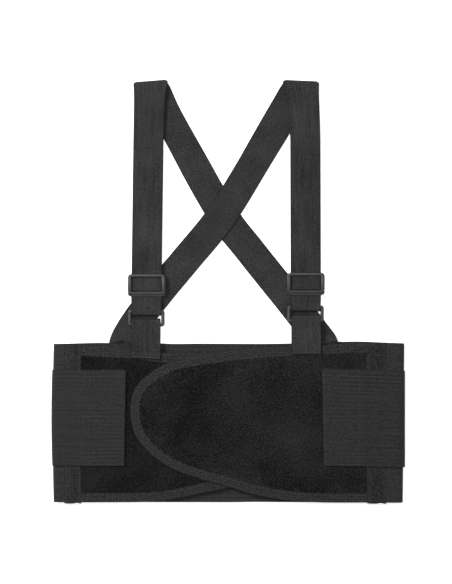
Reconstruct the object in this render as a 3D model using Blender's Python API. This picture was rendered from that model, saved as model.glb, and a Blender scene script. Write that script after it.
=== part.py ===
"""Back brace: an elastic lumbar belt with overlapping front flaps, side pulls and crossed suspenders.

The brace lies flat on its back, front side up.  +X points to the right as seen from the front, +Y
towards the shoulders and +Z out of the front.  The origin is the middle of the footprint, at the
level that the brace rests on.  Left and right are as seen from the front.
"""
import math

import bmesh
import bpy
from mathutils import Vector

MM = 0.001
GAP = 0.3 * MM                      # clearance that touching pieces keep

# Overall size
HALF_WIDTH = 223.9 * MM             # to the outside of the side pulls
HALF_LENGTH = 268.8 * MM            # shoulder folds to the hem of the seam tapes
BELT_TOP = -68 * MM
BELT_BOTTOM = -268 * MM
BELT_SIDE = 221.8 * MM              # outside of the elastic's fold

# Layers from the surface that the brace rests on, each (low, high)
POCKET_Z = (0.0 * MM, 2.4 * MM)
REAR_TAPE_Z = (0.0 * MM, 0.5 * MM)
REAR_PULL_Z = (0.8 * MM, 2.4 * MM)
BACK_Z = (2.7 * MM, 4.5 * MM)
UNDER_FLAP_Z = (9.3 * MM, 11.7 * MM)
CLOSURE_HOOK_Z = (12.0 * MM, 12.7 * MM)
OVER_FLAP_Z = (13.0 * MM, 15.4 * MM)
HOOK_RISE = 0.3 * MM                # a pull's hook patch above its flap
HOOK_THICK = 0.7 * MM
SEAM_TAPE_THICK = 0.6 * MM
ELASTIC_THICK = 1.8 * MM
PULL_THICK = 1.6 * MM

# Belt
SIDE_JOIN_X = 200 * MM              # where the back panel meets the side elastic
FLAP_JOIN_X = {"left": -188 * MM, "right": 177 * MM}
SEAM_TAPE_X = {"left": (-208 * MM, -187 * MM), "right": (177.3 * MM, 201 * MM)}
BINDING_WIDTH = 11.6 * MM
CLOSURE_HINGE_X = 52.85 * MM
CLOSURE_HOOK = (66 * MM, 92 * MM, Vector((-70 * MM, -154 * MM)))   # width, height, centre
CLOSURE_HOOK_CORNER = 25 * MM

# Stays
STAY_X = (-60 * MM, -20 * MM, 20 * MM, 60 * MM)
STAY_SIZE = (13 * MM, 176 * MM, 0.8 * MM)
POCKET_SIZE = (24 * MM, 194 * MM)
POCKET_WALL = 0.5 * MM

# Side pulls
PULL_TOP = -100 * MM
PULL_BOTTOM = -221.5 * MM
PULL_END_X = {"left": -130.6 * MM, "right": 119.5 * MM}
PULL_HINGE_X = 214 * MM
PULL_REAR_X = 84 * MM               # where a pull is sewn to the back
PULL_HOOK_LENGTH = 50 * MM
PULL_HOOK_MARGIN = 4 * MM
REAR_TAPE_X = (76 * MM, 96 * MM)

# Suspenders
STRAP_WIDTH = 38 * MM
STRAP_THICK = 1.2 * MM
TAB_WIDTH = 37.4 * MM
FRONT_Z = 5.6 * MM                  # middle of the front straps
REAR_Z = 0.6 * MM                   # middle of the rear straps
REAR_END_Z = 5.4 * MM               # middle of a rear strap sewn inside the back panel
CROSSING = Vector((-7.5 * MM, 99 * MM))
CROSSING_RISE = 1.9 * MM
CROSSING_REACH = 72 * MM
CROSSING_LEVEL = 0.42               # share of that reach over which the upper strap stays level
HARNESS_HINGE_Y = -66 * MM
REAR_END_Y = -82 * MM
RAMP_Y = (-46 * MM, -64 * MM)       # a rear strap climbs from the floor into the belt
LEVEL_Y = (-36 * MM, -50 * MM)      # and its sections turn level with the belt's edge
FOLD_STEPS = 5                      # sections in which it leaves the direction of the shoulder fold
FOLD_BLEND = 8 * MM                 # and the length in which a front strap does

# Adjusters and rings
SLIDE_SIZE = (46.6 * MM, 28.3 * MM)
SLIDE_Z = (2.4 * MM, 8.4 * MM)
SLIDE_CORNER = 4.5 * MM
SLIDE_WINDOW = 39.4 * MM
SLIDE_TOP_BAR = 3.4 * MM
SLIDE_BOTTOM_BAR = 6.2 * MM
SLIDE_BAR_LOW = 6.5 * MM            # underside of the bars that the strap passes behind
SLIDE_CROSSBAR = (5.0 * MM, 1.3 * MM)
SLIDE_LOWER_TRAVEL = 8 * MM
RING_SIZE = (45.8 * MM, 21.5 * MM)
RING_WIRE = 1.6 * MM
RING_CORNER = 2.6 * MM
RING_Z = 4.6 * MM
LOOP_TOP_Z = 7.1 * MM               # middle of the webbing over a ring's bar
LOOP_LOW_Z = 2.1 * MM
LOOP_TURN_Y = 4.3 * MM              # the strap turns this far above the ring's middle
TAB_TURN_Y = 1.3 * MM               # and the tab this far below it
BAR_CLEARANCE = 1.7 * MM
RETURN_Z = 2.4 * MM                 # middle of the strap that comes back up from the ring
STRAP_JOIN_Y = -14 * MM             # where the front strap meets the loop round the ring

SIDES = {
    "left": {
        "sign": -1,
        "strap_top": Vector((-101 * MM, 263 * MM)),
        "strap_low": Vector((-104.2 * MM, STRAP_JOIN_Y)),
        "slide_y": 7.2 * MM,
        "ring": Vector((-104.5 * MM, -34.3 * MM)),
        "tab_x": -105.0 * MM,
        "tab_end_y": -85.5 * MM,
        "tab_low": UNDER_FLAP_Z[1] + GAP,
        "fold_tilt": math.radians(7),
        "rear_path": [
            (-100, 263), (-60, 192), (-8, 99), (29, 50), (78, -11), (103, -43), (118, -64), (124, -82),
        ],
        "rear_rise": 0.0,
    },
    "right": {
        "sign": 1,
        "strap_top": Vector((97.7 * MM, 263 * MM)),
        "strap_low": Vector((97.7 * MM, STRAP_JOIN_Y)),
        "slide_y": 9.0 * MM,
        "ring": Vector((97.3 * MM, -29.0 * MM)),
        "tab_x": 97.9 * MM,
        "tab_end_y": -80 * MM,
        "tab_low": OVER_FLAP_Z[1] + GAP,
        "fold_tilt": math.radians(-4),
        "rear_path": [
            (96, 263), (50, 192), (-7, 99), (-54, 39), (-88, -2), (-114, -36), (-129, -62), (-134, -82),
        ],
        "rear_rise": CROSSING_RISE,
    },
}

# Outer edges of the front flaps, in millimetres, from the top end round the tip to the bottom end
OVER_FLAP_EDGE = [
    (177, -68.0), (128, -69.2), (52, -72.6), (-17, -79.6), (-76, -91.5), (-114, -118), (-124, -151),
    (-113, -190), (-70, -225), (0, -247.5), (40, -258.7), (80, -265.0), (120, -267.4), (177, -267.5),
]
UNDER_FLAP_EDGE = [
    (-188, -70.5), (-125, -74.0), (-84, -78.8), (-28, -81.6), (20, -87), (76, -98), (112, -122), (122, -153),
    (111, -190), (69, -225), (0, -248.3), (-36, -256.0), (-75, -264.0), (-105, -266.9), (-188, -267.5),
]


# ---------------------------------------------------------------- materials

FINISHES = {
    # name: (colour, roughness, metallic)
    "elastic": ((0.032, 0.032, 0.034), 0.85, 0.0),
    "loop_fabric": ((0.012, 0.012, 0.013), 0.95, 0.0),
    "binding": ((0.030, 0.030, 0.032), 0.80, 0.0),
    "webbing": ((0.034, 0.034, 0.036), 0.75, 0.0),
    "hook_tape": ((0.015, 0.015, 0.016), 0.60, 0.0),
    "moulded_plastic": ((0.012, 0.012, 0.013), 0.35, 0.0),
    "spring_steel": ((0.55, 0.56, 0.58), 0.30, 1.0),
}


def finish(name):
    """The Principled material of that name, made on first use."""
    material = bpy.data.materials.get(name)
    if material is None:
        colour, roughness, metallic = FINISHES[name]
        material = bpy.data.materials.new(name)
        material.use_nodes = True
        shader = material.node_tree.nodes["Principled BSDF"]
        shader.inputs["Base Color"].default_value = (*colour, 1)
        shader.inputs["Roughness"].default_value = roughness
        shader.inputs["Metallic"].default_value = metallic
        material.diffuse_color = (*colour, 1)
    return material


# ---------------------------------------------------------------- shape helpers

def add_object(name, mesh_builder, material):
    """Turn a bmesh into a named object with outward faces."""
    bmesh.ops.recalc_face_normals(mesh_builder, faces=mesh_builder.faces)
    mesh = bpy.data.meshes.new(name)
    mesh_builder.to_mesh(mesh)
    mesh_builder.free()
    mesh.materials.append(finish(material))
    obj = bpy.data.objects.new(name, mesh)
    bpy.context.scene.collection.objects.link(obj)
    return obj


def slab(name, outline, z_range, material):
    """A flat outline in the XY plane, extruded between two heights."""
    builder = bmesh.new()
    face = builder.faces.new([builder.verts.new((x, y, z_range[0])) for x, y in outline])
    grown = bmesh.ops.extrude_face_region(builder, geom=[face])["geom"]
    rise = Vector((0, 0, z_range[1] - z_range[0]))
    bmesh.ops.translate(builder, verts=[v for v in grown if isinstance(v, bmesh.types.BMVert)], vec=rise)
    return add_object(name, builder, material)


def box(name, x_range, y_range, z_range, material):
    """An upright block."""
    (x0, x1), (y0, y1) = x_range, y_range
    return slab(name, [(x0, y0), (x1, y0), (x1, y1), (x0, y1)], z_range, material)


def loft(name, sections, material, closed=False):
    """Join equal rings of points into one solid, capped unless it closes on itself."""
    builder = bmesh.new()
    rings = [[builder.verts.new(point) for point in section] for section in sections]
    pairs = list(zip(rings, rings[1:]))
    if closed:
        pairs.append((rings[-1], rings[0]))
    else:
        builder.faces.new(rings[0])
        builder.faces.new(rings[-1])
    for first, second in pairs:
        for i in range(len(first)):
            j = (i + 1) % len(first)
            builder.faces.new((first[i], first[j], second[j], second[i]))
    return add_object(name, builder, material)


def ribbon(name, centres, laterals, width, thickness, material):
    """A flat strap along its centres, with each section's sideways direction given."""
    sections = []
    for i, centre in enumerate(centres):
        ahead = centres[min(i + 1, len(centres) - 1)]
        behind = centres[max(i - 1, 0)]
        across = laterals[i] * (width / 2)
        up = (ahead - behind).cross(laterals[i]).normalized() * (thickness / 2)
        corners = ((-1, -1), (1, -1), (1, 1), (-1, 1))
        sections.append([centre + across * i_across + up * i_up for i_across, i_up in corners])
    return loft(name, sections, material)


def smooth_path(points, steps):
    """A Catmull-Rom curve through the points, with that many steps for each span."""
    ends = [2 * points[0] - points[1], *points, 2 * points[-1] - points[-2]]
    path = []
    for a, b, c, d in zip(ends, ends[1:], ends[2:], ends[3:]):
        for k in range(steps):
            t = k / steps
            path.append(0.5 * (2 * b + (c - a) * t + (2 * a - 5 * b + 4 * c - d) * t * t
                               + (3 * b - a - 3 * c + d) * t ** 3))
    return path + [points[-1].copy()]


def smoothstep(value, low, high):
    """0 at low, 1 at high, with an even start and end."""
    t = min(max((value - low) / (high - low), 0.0), 1.0)
    return t * t * (3 - 2 * t)


def inset_path(path, distance):
    """The path moved sideways, to the left of its direction, with its ends at the same X."""
    moved = []
    for i, point in enumerate(path):
        along = (path[min(i + 1, len(path) - 1)] - path[max(i - 1, 0)]).normalized()
        moved.append(point + Vector((-along.y, along.x)) * distance)
    moved[0].x, moved[-1].x = path[0].x, path[-1].x
    return moved


def split_at_x(path, x):
    """The three stretches of a path that crosses the line at x twice."""
    cuts = []
    for i, (a, b) in enumerate(zip(path, path[1:])):
        if (a.x - x) * (b.x - x) < 0:
            cuts.append((i, a.lerp(b, (x - a.x) / (b.x - a.x))))
    (i, first), (j, last) = cuts
    return path[:i + 1] + [first], [first] + path[i + 1:j + 1] + [last], [last] + path[j + 1:]


def arc_points(centre, radius, start, stop, steps):
    """Points in a plane on an arc, its angles in degrees."""
    points = []
    for k in range(steps + 1):
        angle = math.radians(start + (stop - start) * k / steps)
        points.append(Vector((centre[0] + radius * math.cos(angle), centre[1] + radius * math.sin(angle))))
    return points


def subtract(obj, cutter):
    """Cut one object out of another with a Boolean modifier."""
    cutter.hide_render = True
    cutter.display_type = "WIRE"
    modifier = obj.modifiers.new("cut", "BOOLEAN")
    modifier.operation = "DIFFERENCE"
    modifier.object = cutter


# ---------------------------------------------------------------- belt

def back_panel():
    """The flat elastic panel behind the waist."""
    box("back_panel", (-SIDE_JOIN_X + GAP, SIDE_JOIN_X - GAP), (BELT_BOTTOM, BELT_TOP), BACK_Z, "elastic")


def side_wrap(name, side, z_range, thickness, outer, rear, front, y_range, material):
    """A layer that folds round the belt's side, from the back to the front."""
    sign = SIDES[side]["sign"]
    radius = (z_range[1] - z_range[0] - thickness) / 2
    centre = (outer - thickness / 2 - radius, (z_range[0] + z_range[1]) / 2)
    profile = [Vector((rear, centre[1] - radius))]
    profile += arc_points(centre, radius, -90, 90, 12)
    profile.append(Vector((front, centre[1] + radius)))
    middle = (y_range[0] + y_range[1]) / 2
    centres = [Vector((sign * p.x, middle, p.y)) for p in profile]
    ribbon(name, centres, [Vector((0, 1, 0))] * len(centres), y_range[1] - y_range[0], thickness, material)


def side_elastic(side):
    """The elastic that carries the back panel round to a front flap."""
    top = (UNDER_FLAP_Z if side == "left" else OVER_FLAP_Z)[1]
    side_wrap(f"{side}_side_elastic", side, (BACK_Z[0], top), ELASTIC_THICK, BELT_SIDE,
              SIDE_JOIN_X, abs(FLAP_JOIN_X[side]) + GAP, (BELT_BOTTOM, BELT_TOP), "elastic")


def seam_tape(side):
    """The tape over the seam between a front flap and its side elastic."""
    low = (UNDER_FLAP_Z if side == "left" else OVER_FLAP_Z)[1] + GAP
    box(f"{side}_seam_tape", SEAM_TAPE_X[side], (-HALF_LENGTH, BELT_TOP),
        (low, low + SEAM_TAPE_THICK), "binding")


def stay(number, x):
    """A spring steel stay and the pocket that it slides into from the top."""
    width, height, thickness = STAY_SIZE
    middle = (BELT_TOP + BELT_BOTTOM) / 2
    pocket_low = middle - POCKET_SIZE[1] / 2
    pocket_high = middle + POCKET_SIZE[1] / 2
    pocket = box(f"stay_pocket_{number}", (x - POCKET_SIZE[0] / 2, x + POCKET_SIZE[0] / 2),
                 (pocket_low, pocket_high), POCKET_Z, "binding")
    room = width / 2 + 1 * MM
    hollow = box(f"stay_room_{number}", (x - room, x + room), (pocket_low + 6 * MM, pocket_high + 5 * MM),
                 (POCKET_Z[0] + POCKET_WALL, POCKET_Z[1] - POCKET_WALL), "binding")
    subtract(pocket, hollow)
    low = POCKET_Z[0] + POCKET_WALL + GAP
    radius = width / 2
    outline = arc_points((x, middle + height / 2 - radius), radius, 0, 180, 10)
    outline += arc_points((x, middle - height / 2 + radius), radius, 180, 360, 10)
    slab(f"stay_{number}", outline, (low, low + thickness), "spring_steel")


def under_flap():
    """The front flap from the left, which lies beneath, with its edge binding."""
    outer = smooth_path([Vector((x * MM, y * MM)) for x, y in UNDER_FLAP_EDGE], 4)
    inner = inset_path(outer, -BINDING_WIDTH)
    panel = inset_path(outer, -BINDING_WIDTH - GAP)
    slab("under_flap_binding", outer + inner[::-1], UNDER_FLAP_Z, "binding")
    slab("under_flap", panel, UNDER_FLAP_Z, "loop_fabric")


def over_flap():
    """The front flap from the right: a sewn base, and the tip that peels open on its hook patch."""
    outer = smooth_path([Vector((x * MM, y * MM)) for x, y in OVER_FLAP_EDGE], 4)
    inner = inset_path(outer, BINDING_WIDTH)
    panel = inset_path(outer, BINDING_WIDTH + GAP)
    base_x, tip_x = CLOSURE_HINGE_X + GAP / 2, CLOSURE_HINGE_X - GAP / 2
    outer_top, _, outer_low = split_at_x(outer, base_x)
    inner_top, _, inner_low = split_at_x(inner, base_x)
    slab("over_flap_binding_top", outer_top + inner_top[::-1], OVER_FLAP_Z, "binding")
    slab("over_flap_binding_bottom", outer_low + inner_low[::-1], OVER_FLAP_Z, "binding")
    tip_binding = split_at_x(outer, tip_x)[1] + split_at_x(inner, tip_x)[1][::-1]
    slab("over_flap_binding_tip", tip_binding, OVER_FLAP_Z, "binding")
    panel_top, _, panel_low = split_at_x(panel, base_x)
    slab("over_flap_base", panel_top + panel_low, OVER_FLAP_Z, "loop_fabric")
    slab("over_flap_tip", split_at_x(panel, tip_x)[1], OVER_FLAP_Z, "loop_fabric")
    width, height, centre = CLOSURE_HOOK
    outline = []
    for corner, (sx, sy) in enumerate([(1, 1), (-1, 1), (-1, -1), (1, -1)]):
        reach_x, reach_y = width / 2 - CLOSURE_HOOK_CORNER, height / 2 - CLOSURE_HOOK_CORNER
        pivot = (centre.x + sx * reach_x, centre.y + sy * reach_y)
        outline += arc_points(pivot, CLOSURE_HOOK_CORNER, 90 * corner, 90 * corner + 90, 6)
    slab("closure_hook_patch", outline, CLOSURE_HOOK_Z, "hook_tape")


# ---------------------------------------------------------------- side pulls

def side_pull(side):
    """A wide elastic band from the back, round the side, to a hook patch on the front."""
    sign = SIDES[side]["sign"]
    flap_top = (UNDER_FLAP_Z if side == "left" else OVER_FLAP_Z)[1]
    hook_low = flap_top + HOOK_RISE
    low = hook_low + HOOK_THICK + GAP
    height = (PULL_BOTTOM, PULL_TOP)
    box(f"{side}_pull_rear", sorted((sign * PULL_REAR_X, sign * (SIDE_JOIN_X - GAP))), height,
        REAR_PULL_Z, "elastic")
    side_wrap(f"{side}_pull_wrap", side, (REAR_PULL_Z[0], low + PULL_THICK), PULL_THICK, HALF_WIDTH,
              SIDE_JOIN_X, PULL_HINGE_X + GAP / 2, height, "elastic")
    end = PULL_END_X[side]
    box(f"{side}_pull_front", sorted((end, sign * (PULL_HINGE_X - GAP / 2))), height,
        (low, low + PULL_THICK), "elastic")
    hook_start = end + sign * PULL_HOOK_MARGIN
    box(f"{side}_pull_hook", sorted((hook_start, hook_start + sign * PULL_HOOK_LENGTH)),
        (PULL_BOTTOM + PULL_HOOK_MARGIN, PULL_TOP - PULL_HOOK_MARGIN),
        (hook_low, hook_low + HOOK_THICK), "hook_tape")
    box(f"{side}_rear_tape", sorted((sign * REAR_TAPE_X[0], sign * REAR_TAPE_X[1])),
        (BELT_BOTTOM, BELT_TOP), REAR_TAPE_Z, "binding")


# ---------------------------------------------------------------- suspenders

def rear_height(point, rise):
    """Height of a rear strap: on the floor, over the crossing, and up into the belt."""
    reach = (point - CROSSING).length / CROSSING_REACH
    hump = rise * (1 - smoothstep(reach, CROSSING_LEVEL, 1.0))
    ramp = smoothstep(point.y, *RAMP_Y)
    return REAR_Z + hump + (REAR_END_Z - REAR_Z) * ramp


def rear_strap(side):
    """The strap from a shoulder across the back, and its end sewn inside the back panel."""
    data = SIDES[side]
    plan = smooth_path([Vector((x * MM, y * MM)) for x, y in data["rear_path"]], 5)
    fold = Vector((math.cos(data["fold_tilt"]), math.sin(data["fold_tilt"]), 0))
    level = Vector((1, 0, 0))
    centres, laterals = [], []
    for i, point in enumerate(plan):
        along = (plan[min(i + 1, len(plan) - 1)] - plan[max(i - 1, 0)]).normalized()
        square = Vector((-along.y, along.x, 0))
        lateral = (fold / abs(fold.dot(square))).lerp(square, smoothstep(i, 0, FOLD_STEPS))
        low_end = level / abs(level.dot(square))
        laterals.append(lateral.lerp(low_end, smoothstep(point.y, *LEVEL_Y)))
        centres.append(Vector((point.x, point.y, rear_height(point, data["rear_rise"]))))
    joint = HARNESS_HINGE_Y + GAP / 2
    loose = [i for i, c in enumerate(centres) if c.y > joint + 1 * MM]
    near, far = centres[loose[-1]], centres[loose[-1] + 1]
    last = near.lerp(far, (near.y - joint) / (near.y - far.y))
    end_lateral = laterals[loose[-1] + 1]
    ribbon(f"{side}_rear_strap", [centres[i] for i in loose] + [last],
           [laterals[i] for i in loose] + [end_lateral], STRAP_WIDTH, STRAP_THICK, "webbing")
    sewn = [Vector((last.x, joint - GAP, REAR_END_Z)), Vector((centres[-1].x, REAR_END_Y, REAR_END_Z))]
    ribbon(f"{side}_rear_strap_end", sewn, [end_lateral] * 2, STRAP_WIDTH, STRAP_THICK, "webbing")


def shoulder_fold(side):
    """The strap's turn over the shoulder, from the front layer down to the rear one."""
    data = SIDES[side]
    along = Vector((math.cos(data["fold_tilt"]), math.sin(data["fold_tilt"]), 0))
    ahead = Vector((-along.y, along.x, 0))
    radius = (FRONT_Z - REAR_Z) / 2
    start = Vector((data["strap_top"].x, data["strap_top"].y + GAP, (FRONT_Z + REAR_Z) / 2))
    profile = arc_points((0, 0), radius, 90, -90, 12)
    centres = [start + ahead * p.x + Vector((0, 0, p.y)) for p in profile]
    ribbon(f"{side}_shoulder_fold", centres, [along] * len(centres), STRAP_WIDTH, STRAP_THICK, "webbing")


def front_strap(side):
    """The strap from the shoulder, through the adjuster, towards the ring, and its returning end."""
    data = SIDES[side]
    low = Vector((*data["strap_low"], FRONT_Z))
    top = Vector((*data["strap_top"], FRONT_Z))
    along = (top - low).normalized()
    square = Vector((along.y, -along.x, 0))
    fold = Vector((math.cos(data["fold_tilt"]), math.sin(data["fold_tilt"]), 0))
    near_top = top - along * FOLD_BLEND
    ribbon(f"{side}_front_strap", [low, near_top, top], [square, square, fold],
           STRAP_WIDTH, STRAP_THICK, "webbing")
    return_top = data["slide_y"] - SLIDE_CROSSBAR[0] - SLIDE_LOWER_TRAVEL
    ends = [Vector((data["strap_low"].x, y, RETURN_Z)) for y in (STRAP_JOIN_Y, return_top)]
    ribbon(f"{side}_return_strap", ends, [Vector((1, 0, 0))] * 2, STRAP_WIDTH, STRAP_THICK, "webbing")


def loop_path(start, turn_y, stop):
    """A (y, z) path that runs past a ring's bar, turns round it and comes back."""
    radius = (LOOP_TOP_Z - LOOP_LOW_Z) / 2
    middle = (LOOP_TOP_Z + LOOP_LOW_Z) / 2
    facing = 1 if turn_y > start[0] else -1
    centre_y = turn_y - facing * radius
    turn = arc_points((0, 0), radius, -90, 90, 10)
    path = [Vector(start)]
    path += [Vector((centre_y + facing * p.x, middle + p.y)) for p in turn]
    return path + [Vector(stop)]


def ring_loop(side):
    """The strap's loop round the upper bar of its ring."""
    data = SIDES[side]
    turn_y = data["ring"].y + LOOP_TURN_Y + STRAP_THICK / 2
    start_y = STRAP_JOIN_Y - 3 * GAP
    path = loop_path((start_y, RETURN_Z), turn_y, (start_y, FRONT_Z))
    before_bar = data["ring"].y + RING_SIZE[1] / 2 + BAR_CLEARANCE
    path.insert(1, Vector((before_bar, LOOP_LOW_Z)))
    path.insert(-1, Vector((before_bar, LOOP_TOP_Z)))
    centres = [Vector((data["strap_low"].x, p.x, p.y)) for p in path]
    ribbon(f"{side}_ring_loop", centres, [Vector((1, 0, 0))] * len(centres),
           STRAP_WIDTH, STRAP_THICK, "webbing")


def tab(side):
    """The webbing tab: its loop round the ring's lower bar, and its folded end sewn to the flap."""
    data = SIDES[side]
    joint = HARNESS_HINGE_Y + GAP / 2
    low = data["tab_low"] + STRAP_THICK / 2
    high = low + STRAP_THICK + GAP
    turn_y = data["ring"].y - TAB_TURN_Y - STRAP_THICK / 2
    path = loop_path((joint, low), turn_y, (joint, high))
    past_bar = data["ring"].y - RING_SIZE[1] / 2 - BAR_CLEARANCE
    path.insert(1, Vector((past_bar, LOOP_LOW_Z)))
    centres = [Vector((data["tab_x"], p.x, p.y)) for p in path]
    ribbon(f"{side}_tab", centres, [Vector((1, 0, 0))] * len(centres), TAB_WIDTH, STRAP_THICK, "webbing")
    box(f"{side}_tab_end", (data["tab_x"] - TAB_WIDTH / 2, data["tab_x"] + TAB_WIDTH / 2),
        (data["tab_end_y"], joint - GAP), (data["tab_low"], high + STRAP_THICK / 2), "webbing")


def adjuster(side):
    """The three-bar slide: two upper bars that hold the strap down and a crossbar beneath it."""
    data = SIDES[side]
    ends = data["strap_low"], data["strap_top"]
    share = (data["slide_y"] - ends[0].y) / (ends[1].y - ends[0].y)
    x = ends[0].lerp(ends[1], share).x
    half_x, half_y = SLIDE_SIZE[0] / 2, SLIDE_SIZE[1] / 2
    outline = []
    for corner, (sx, sy) in enumerate([(1, 1), (-1, 1), (-1, -1), (1, -1)]):
        pivot = (sx * (half_x - SLIDE_CORNER), sy * (half_y - SLIDE_CORNER))
        outline += arc_points(pivot, SLIDE_CORNER, 90 * corner, 90 * corner + 90, 4)
    frame = slab(f"{side}_adjuster", outline, SLIDE_Z, "moulded_plastic")
    inner = SLIDE_WINDOW / 2
    window_low, window_high = -half_y + SLIDE_BOTTOM_BAR, half_y - SLIDE_TOP_BAR
    middle = (window_low + window_high) / 2
    bar_low, bar_high = middle - SLIDE_CROSSBAR[0] / 2, middle + SLIDE_CROSSBAR[0] / 2
    bar_top = SLIDE_Z[0] + SLIDE_CROSSBAR[1]
    past = 2 * MM
    cuts = {
        "window": ((window_low, window_high), (bar_top, SLIDE_Z[1] + past)),
        "strap_slot": ((-half_y - past, half_y + past), (bar_top, SLIDE_BAR_LOW)),
        "upper_slot": ((bar_high, half_y + past), (SLIDE_Z[0] - past, SLIDE_BAR_LOW - 1 * MM)),
        "lower_slot": ((-half_y - past, bar_low), (SLIDE_Z[0] - past, SLIDE_BAR_LOW - 1 * MM)),
    }
    place = Vector((x, data["slide_y"], 0))
    for label, (y_range, z_range) in cuts.items():
        cutter = box(f"{side}_adjuster_{label}", (-inner, inner), y_range, z_range, "moulded_plastic")
        cutter.location = place
        subtract(frame, cutter)
    frame.location = place


def ring(side):
    """The rectangular ring that joins the strap's loop to the tab."""
    centre = SIDES[side]["ring"]
    half_x, half_y = RING_SIZE[0] / 2 - RING_WIRE, RING_SIZE[1] / 2 - RING_WIRE
    sections = []
    for corner, (sx, sy) in enumerate([(1, 1), (-1, 1), (-1, -1), (1, -1)]):
        pivot = Vector((sx * (half_x - RING_CORNER), sy * (half_y - RING_CORNER), 0))
        for k in range(5):
            angle = math.radians(90 * corner + 22.5 * k)
            outward = Vector((math.cos(angle), math.sin(angle), 0))
            spot = pivot + outward * RING_CORNER
            circle = arc_points((0, 0), RING_WIRE, 0, 324, 9)
            sections.append([spot + outward * p.x + Vector((0, 0, p.y)) for p in circle])
    obj = loft(f"{side}_ring", sections, "moulded_plastic", closed=True)
    obj.data.shade_smooth()
    lower_bar = Vector((0, -half_y, 0))
    for vertex in obj.data.vertices:
        vertex.co -= lower_bar
    obj.location = Vector((*centre, RING_Z)) + lower_bar


# ---------------------------------------------------------------- assembly

def build():
    """Model the whole brace in an empty scene."""
    for obj in list(bpy.data.objects):
        bpy.data.objects.remove(obj, do_unlink=True)
    back_panel()
    for number, x in enumerate(STAY_X, start=1):
        stay(number, x)
    under_flap()
    over_flap()
    for side in SIDES:
        side_elastic(side)
        seam_tape(side)
        side_pull(side)
        rear_strap(side)
        shoulder_fold(side)
        front_strap(side)
        ring_loop(side)
        tab(side)
        adjuster(side)
        ring(side)


build()
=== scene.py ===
"""Looks of the back brace: woven and knitted cloth, webbing, stitching and moulded plastic on the frame.

Lengths are in metres.  Left and right are as seen from the front, +Z is out of the front.
"""
import math

import bmesh
import bpy
import numpy as np
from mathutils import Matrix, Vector


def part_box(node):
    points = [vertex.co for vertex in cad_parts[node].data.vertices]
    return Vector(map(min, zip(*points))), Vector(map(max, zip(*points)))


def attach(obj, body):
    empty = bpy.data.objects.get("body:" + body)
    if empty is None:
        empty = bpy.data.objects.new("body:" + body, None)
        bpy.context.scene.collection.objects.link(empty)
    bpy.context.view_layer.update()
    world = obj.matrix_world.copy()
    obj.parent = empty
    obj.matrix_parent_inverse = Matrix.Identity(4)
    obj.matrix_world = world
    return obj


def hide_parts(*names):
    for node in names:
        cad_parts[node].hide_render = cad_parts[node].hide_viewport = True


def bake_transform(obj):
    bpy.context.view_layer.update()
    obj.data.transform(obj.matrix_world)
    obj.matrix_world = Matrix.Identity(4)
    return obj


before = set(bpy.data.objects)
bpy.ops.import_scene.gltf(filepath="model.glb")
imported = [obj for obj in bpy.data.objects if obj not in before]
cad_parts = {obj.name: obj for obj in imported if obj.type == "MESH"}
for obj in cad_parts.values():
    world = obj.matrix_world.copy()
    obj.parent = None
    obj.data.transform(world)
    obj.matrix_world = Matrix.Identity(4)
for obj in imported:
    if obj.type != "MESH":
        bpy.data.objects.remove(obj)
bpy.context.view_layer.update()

MM = 0.001
SIDES = {"left": -1, "right": 1}
UP = np.array([0, 0, 1.0])
LEVEL = np.array([1.0, 0, 0])

# Cloth thicknesses
ELASTIC = 1.7 * MM
PULL = 1.5 * MM
WEBBING = 1.15 * MM
TAPE = 0.6 * MM
THREAD = 0.22 * MM

# The flaps' edges, from the top end round the tip to the bottom end
OVER_FLAP_EDGE = [
    (0.177, -0.0672), (0.150, -0.0672), (0.128, -0.0690), (0.052, -0.0726), (-0.017, -0.0796),
    (-0.076, -0.0915), (-0.114, -0.118), (-0.124, -0.151), (-0.113, -0.190), (-0.070, -0.225),
    (0.000, -0.2475), (0.040, -0.2587), (0.080, -0.2650), (0.120, -0.2674), (0.177, -0.2675),
]
UNDER_FLAP_EDGE = [
    (-0.188, -0.0705), (-0.125, -0.0740), (-0.084, -0.0788), (-0.028, -0.0816), (0.020, -0.087),
    (0.076, -0.098), (0.112, -0.122), (0.122, -0.153), (0.111, -0.190), (0.069, -0.225),
    (0.000, -0.2483), (-0.036, -0.2560), (-0.075, -0.2640), (-0.105, -0.2669), (-0.188, -0.2675),
]
BINDING_WIDTH = 11.6 * MM
STITCH_DEPTHS = (2.6 * MM, 5.8 * MM, 9.0 * MM)  # of the rows on a binding, from its edge
PULL_RIBS = 24
PULL_SEAMS = (3.5 * MM, 46 * MM)  # of the stitched box over the hooks, from the pull's free end

# Suspenders
STRAP_WIDTH = 38.4 * MM
LOOP_WIDTH = 37.6 * MM  # narrowed where it runs round the ring
CROSSING = np.array([-0.0075, 0.099])
REAR_PATH = {
    # middle of each rear strap, from the shoulder fold down into the belt
    "left": [(-0.0990, 0.2638), (-0.0604, 0.1918), (-0.0084, 0.0987), (0.0285, 0.0498),
             (0.0775, -0.0113), (0.1022, -0.0433), (0.1170, -0.0640), (0.1230, -0.0820)],
    "right": [(0.0920, 0.2641), (0.0504, 0.1922), (-0.0064, 0.0990), (-0.0545, 0.0394),
              (-0.0885, -0.0016), (-0.1148, -0.0355), (-0.1300, -0.0615), (-0.1345, -0.0820)],
}
FOLD_TILT = {"left": math.radians(4.5), "right": math.radians(-2.5)}
FOLD_SPREAD = {"left": 1.04, "right": 1.06}  # width of the strap flattened in its fold
SPREAD_BEHIND = {"left": -0.05, "right": 0.05}  # share of width gained below the fold, behind
HEM_TILT = {"left": -0.055, "right": 0.0}
HEM_SEAMS = {"left": (1.6 * MM, 6.0 * MM), "right": (2.2 * MM, 4.8 * MM)}
SIDE_SHIFT = {"left": 0.1 * MM, "right": 0.3 * MM}  # of straps and plastic from their nodes, along X
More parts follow.
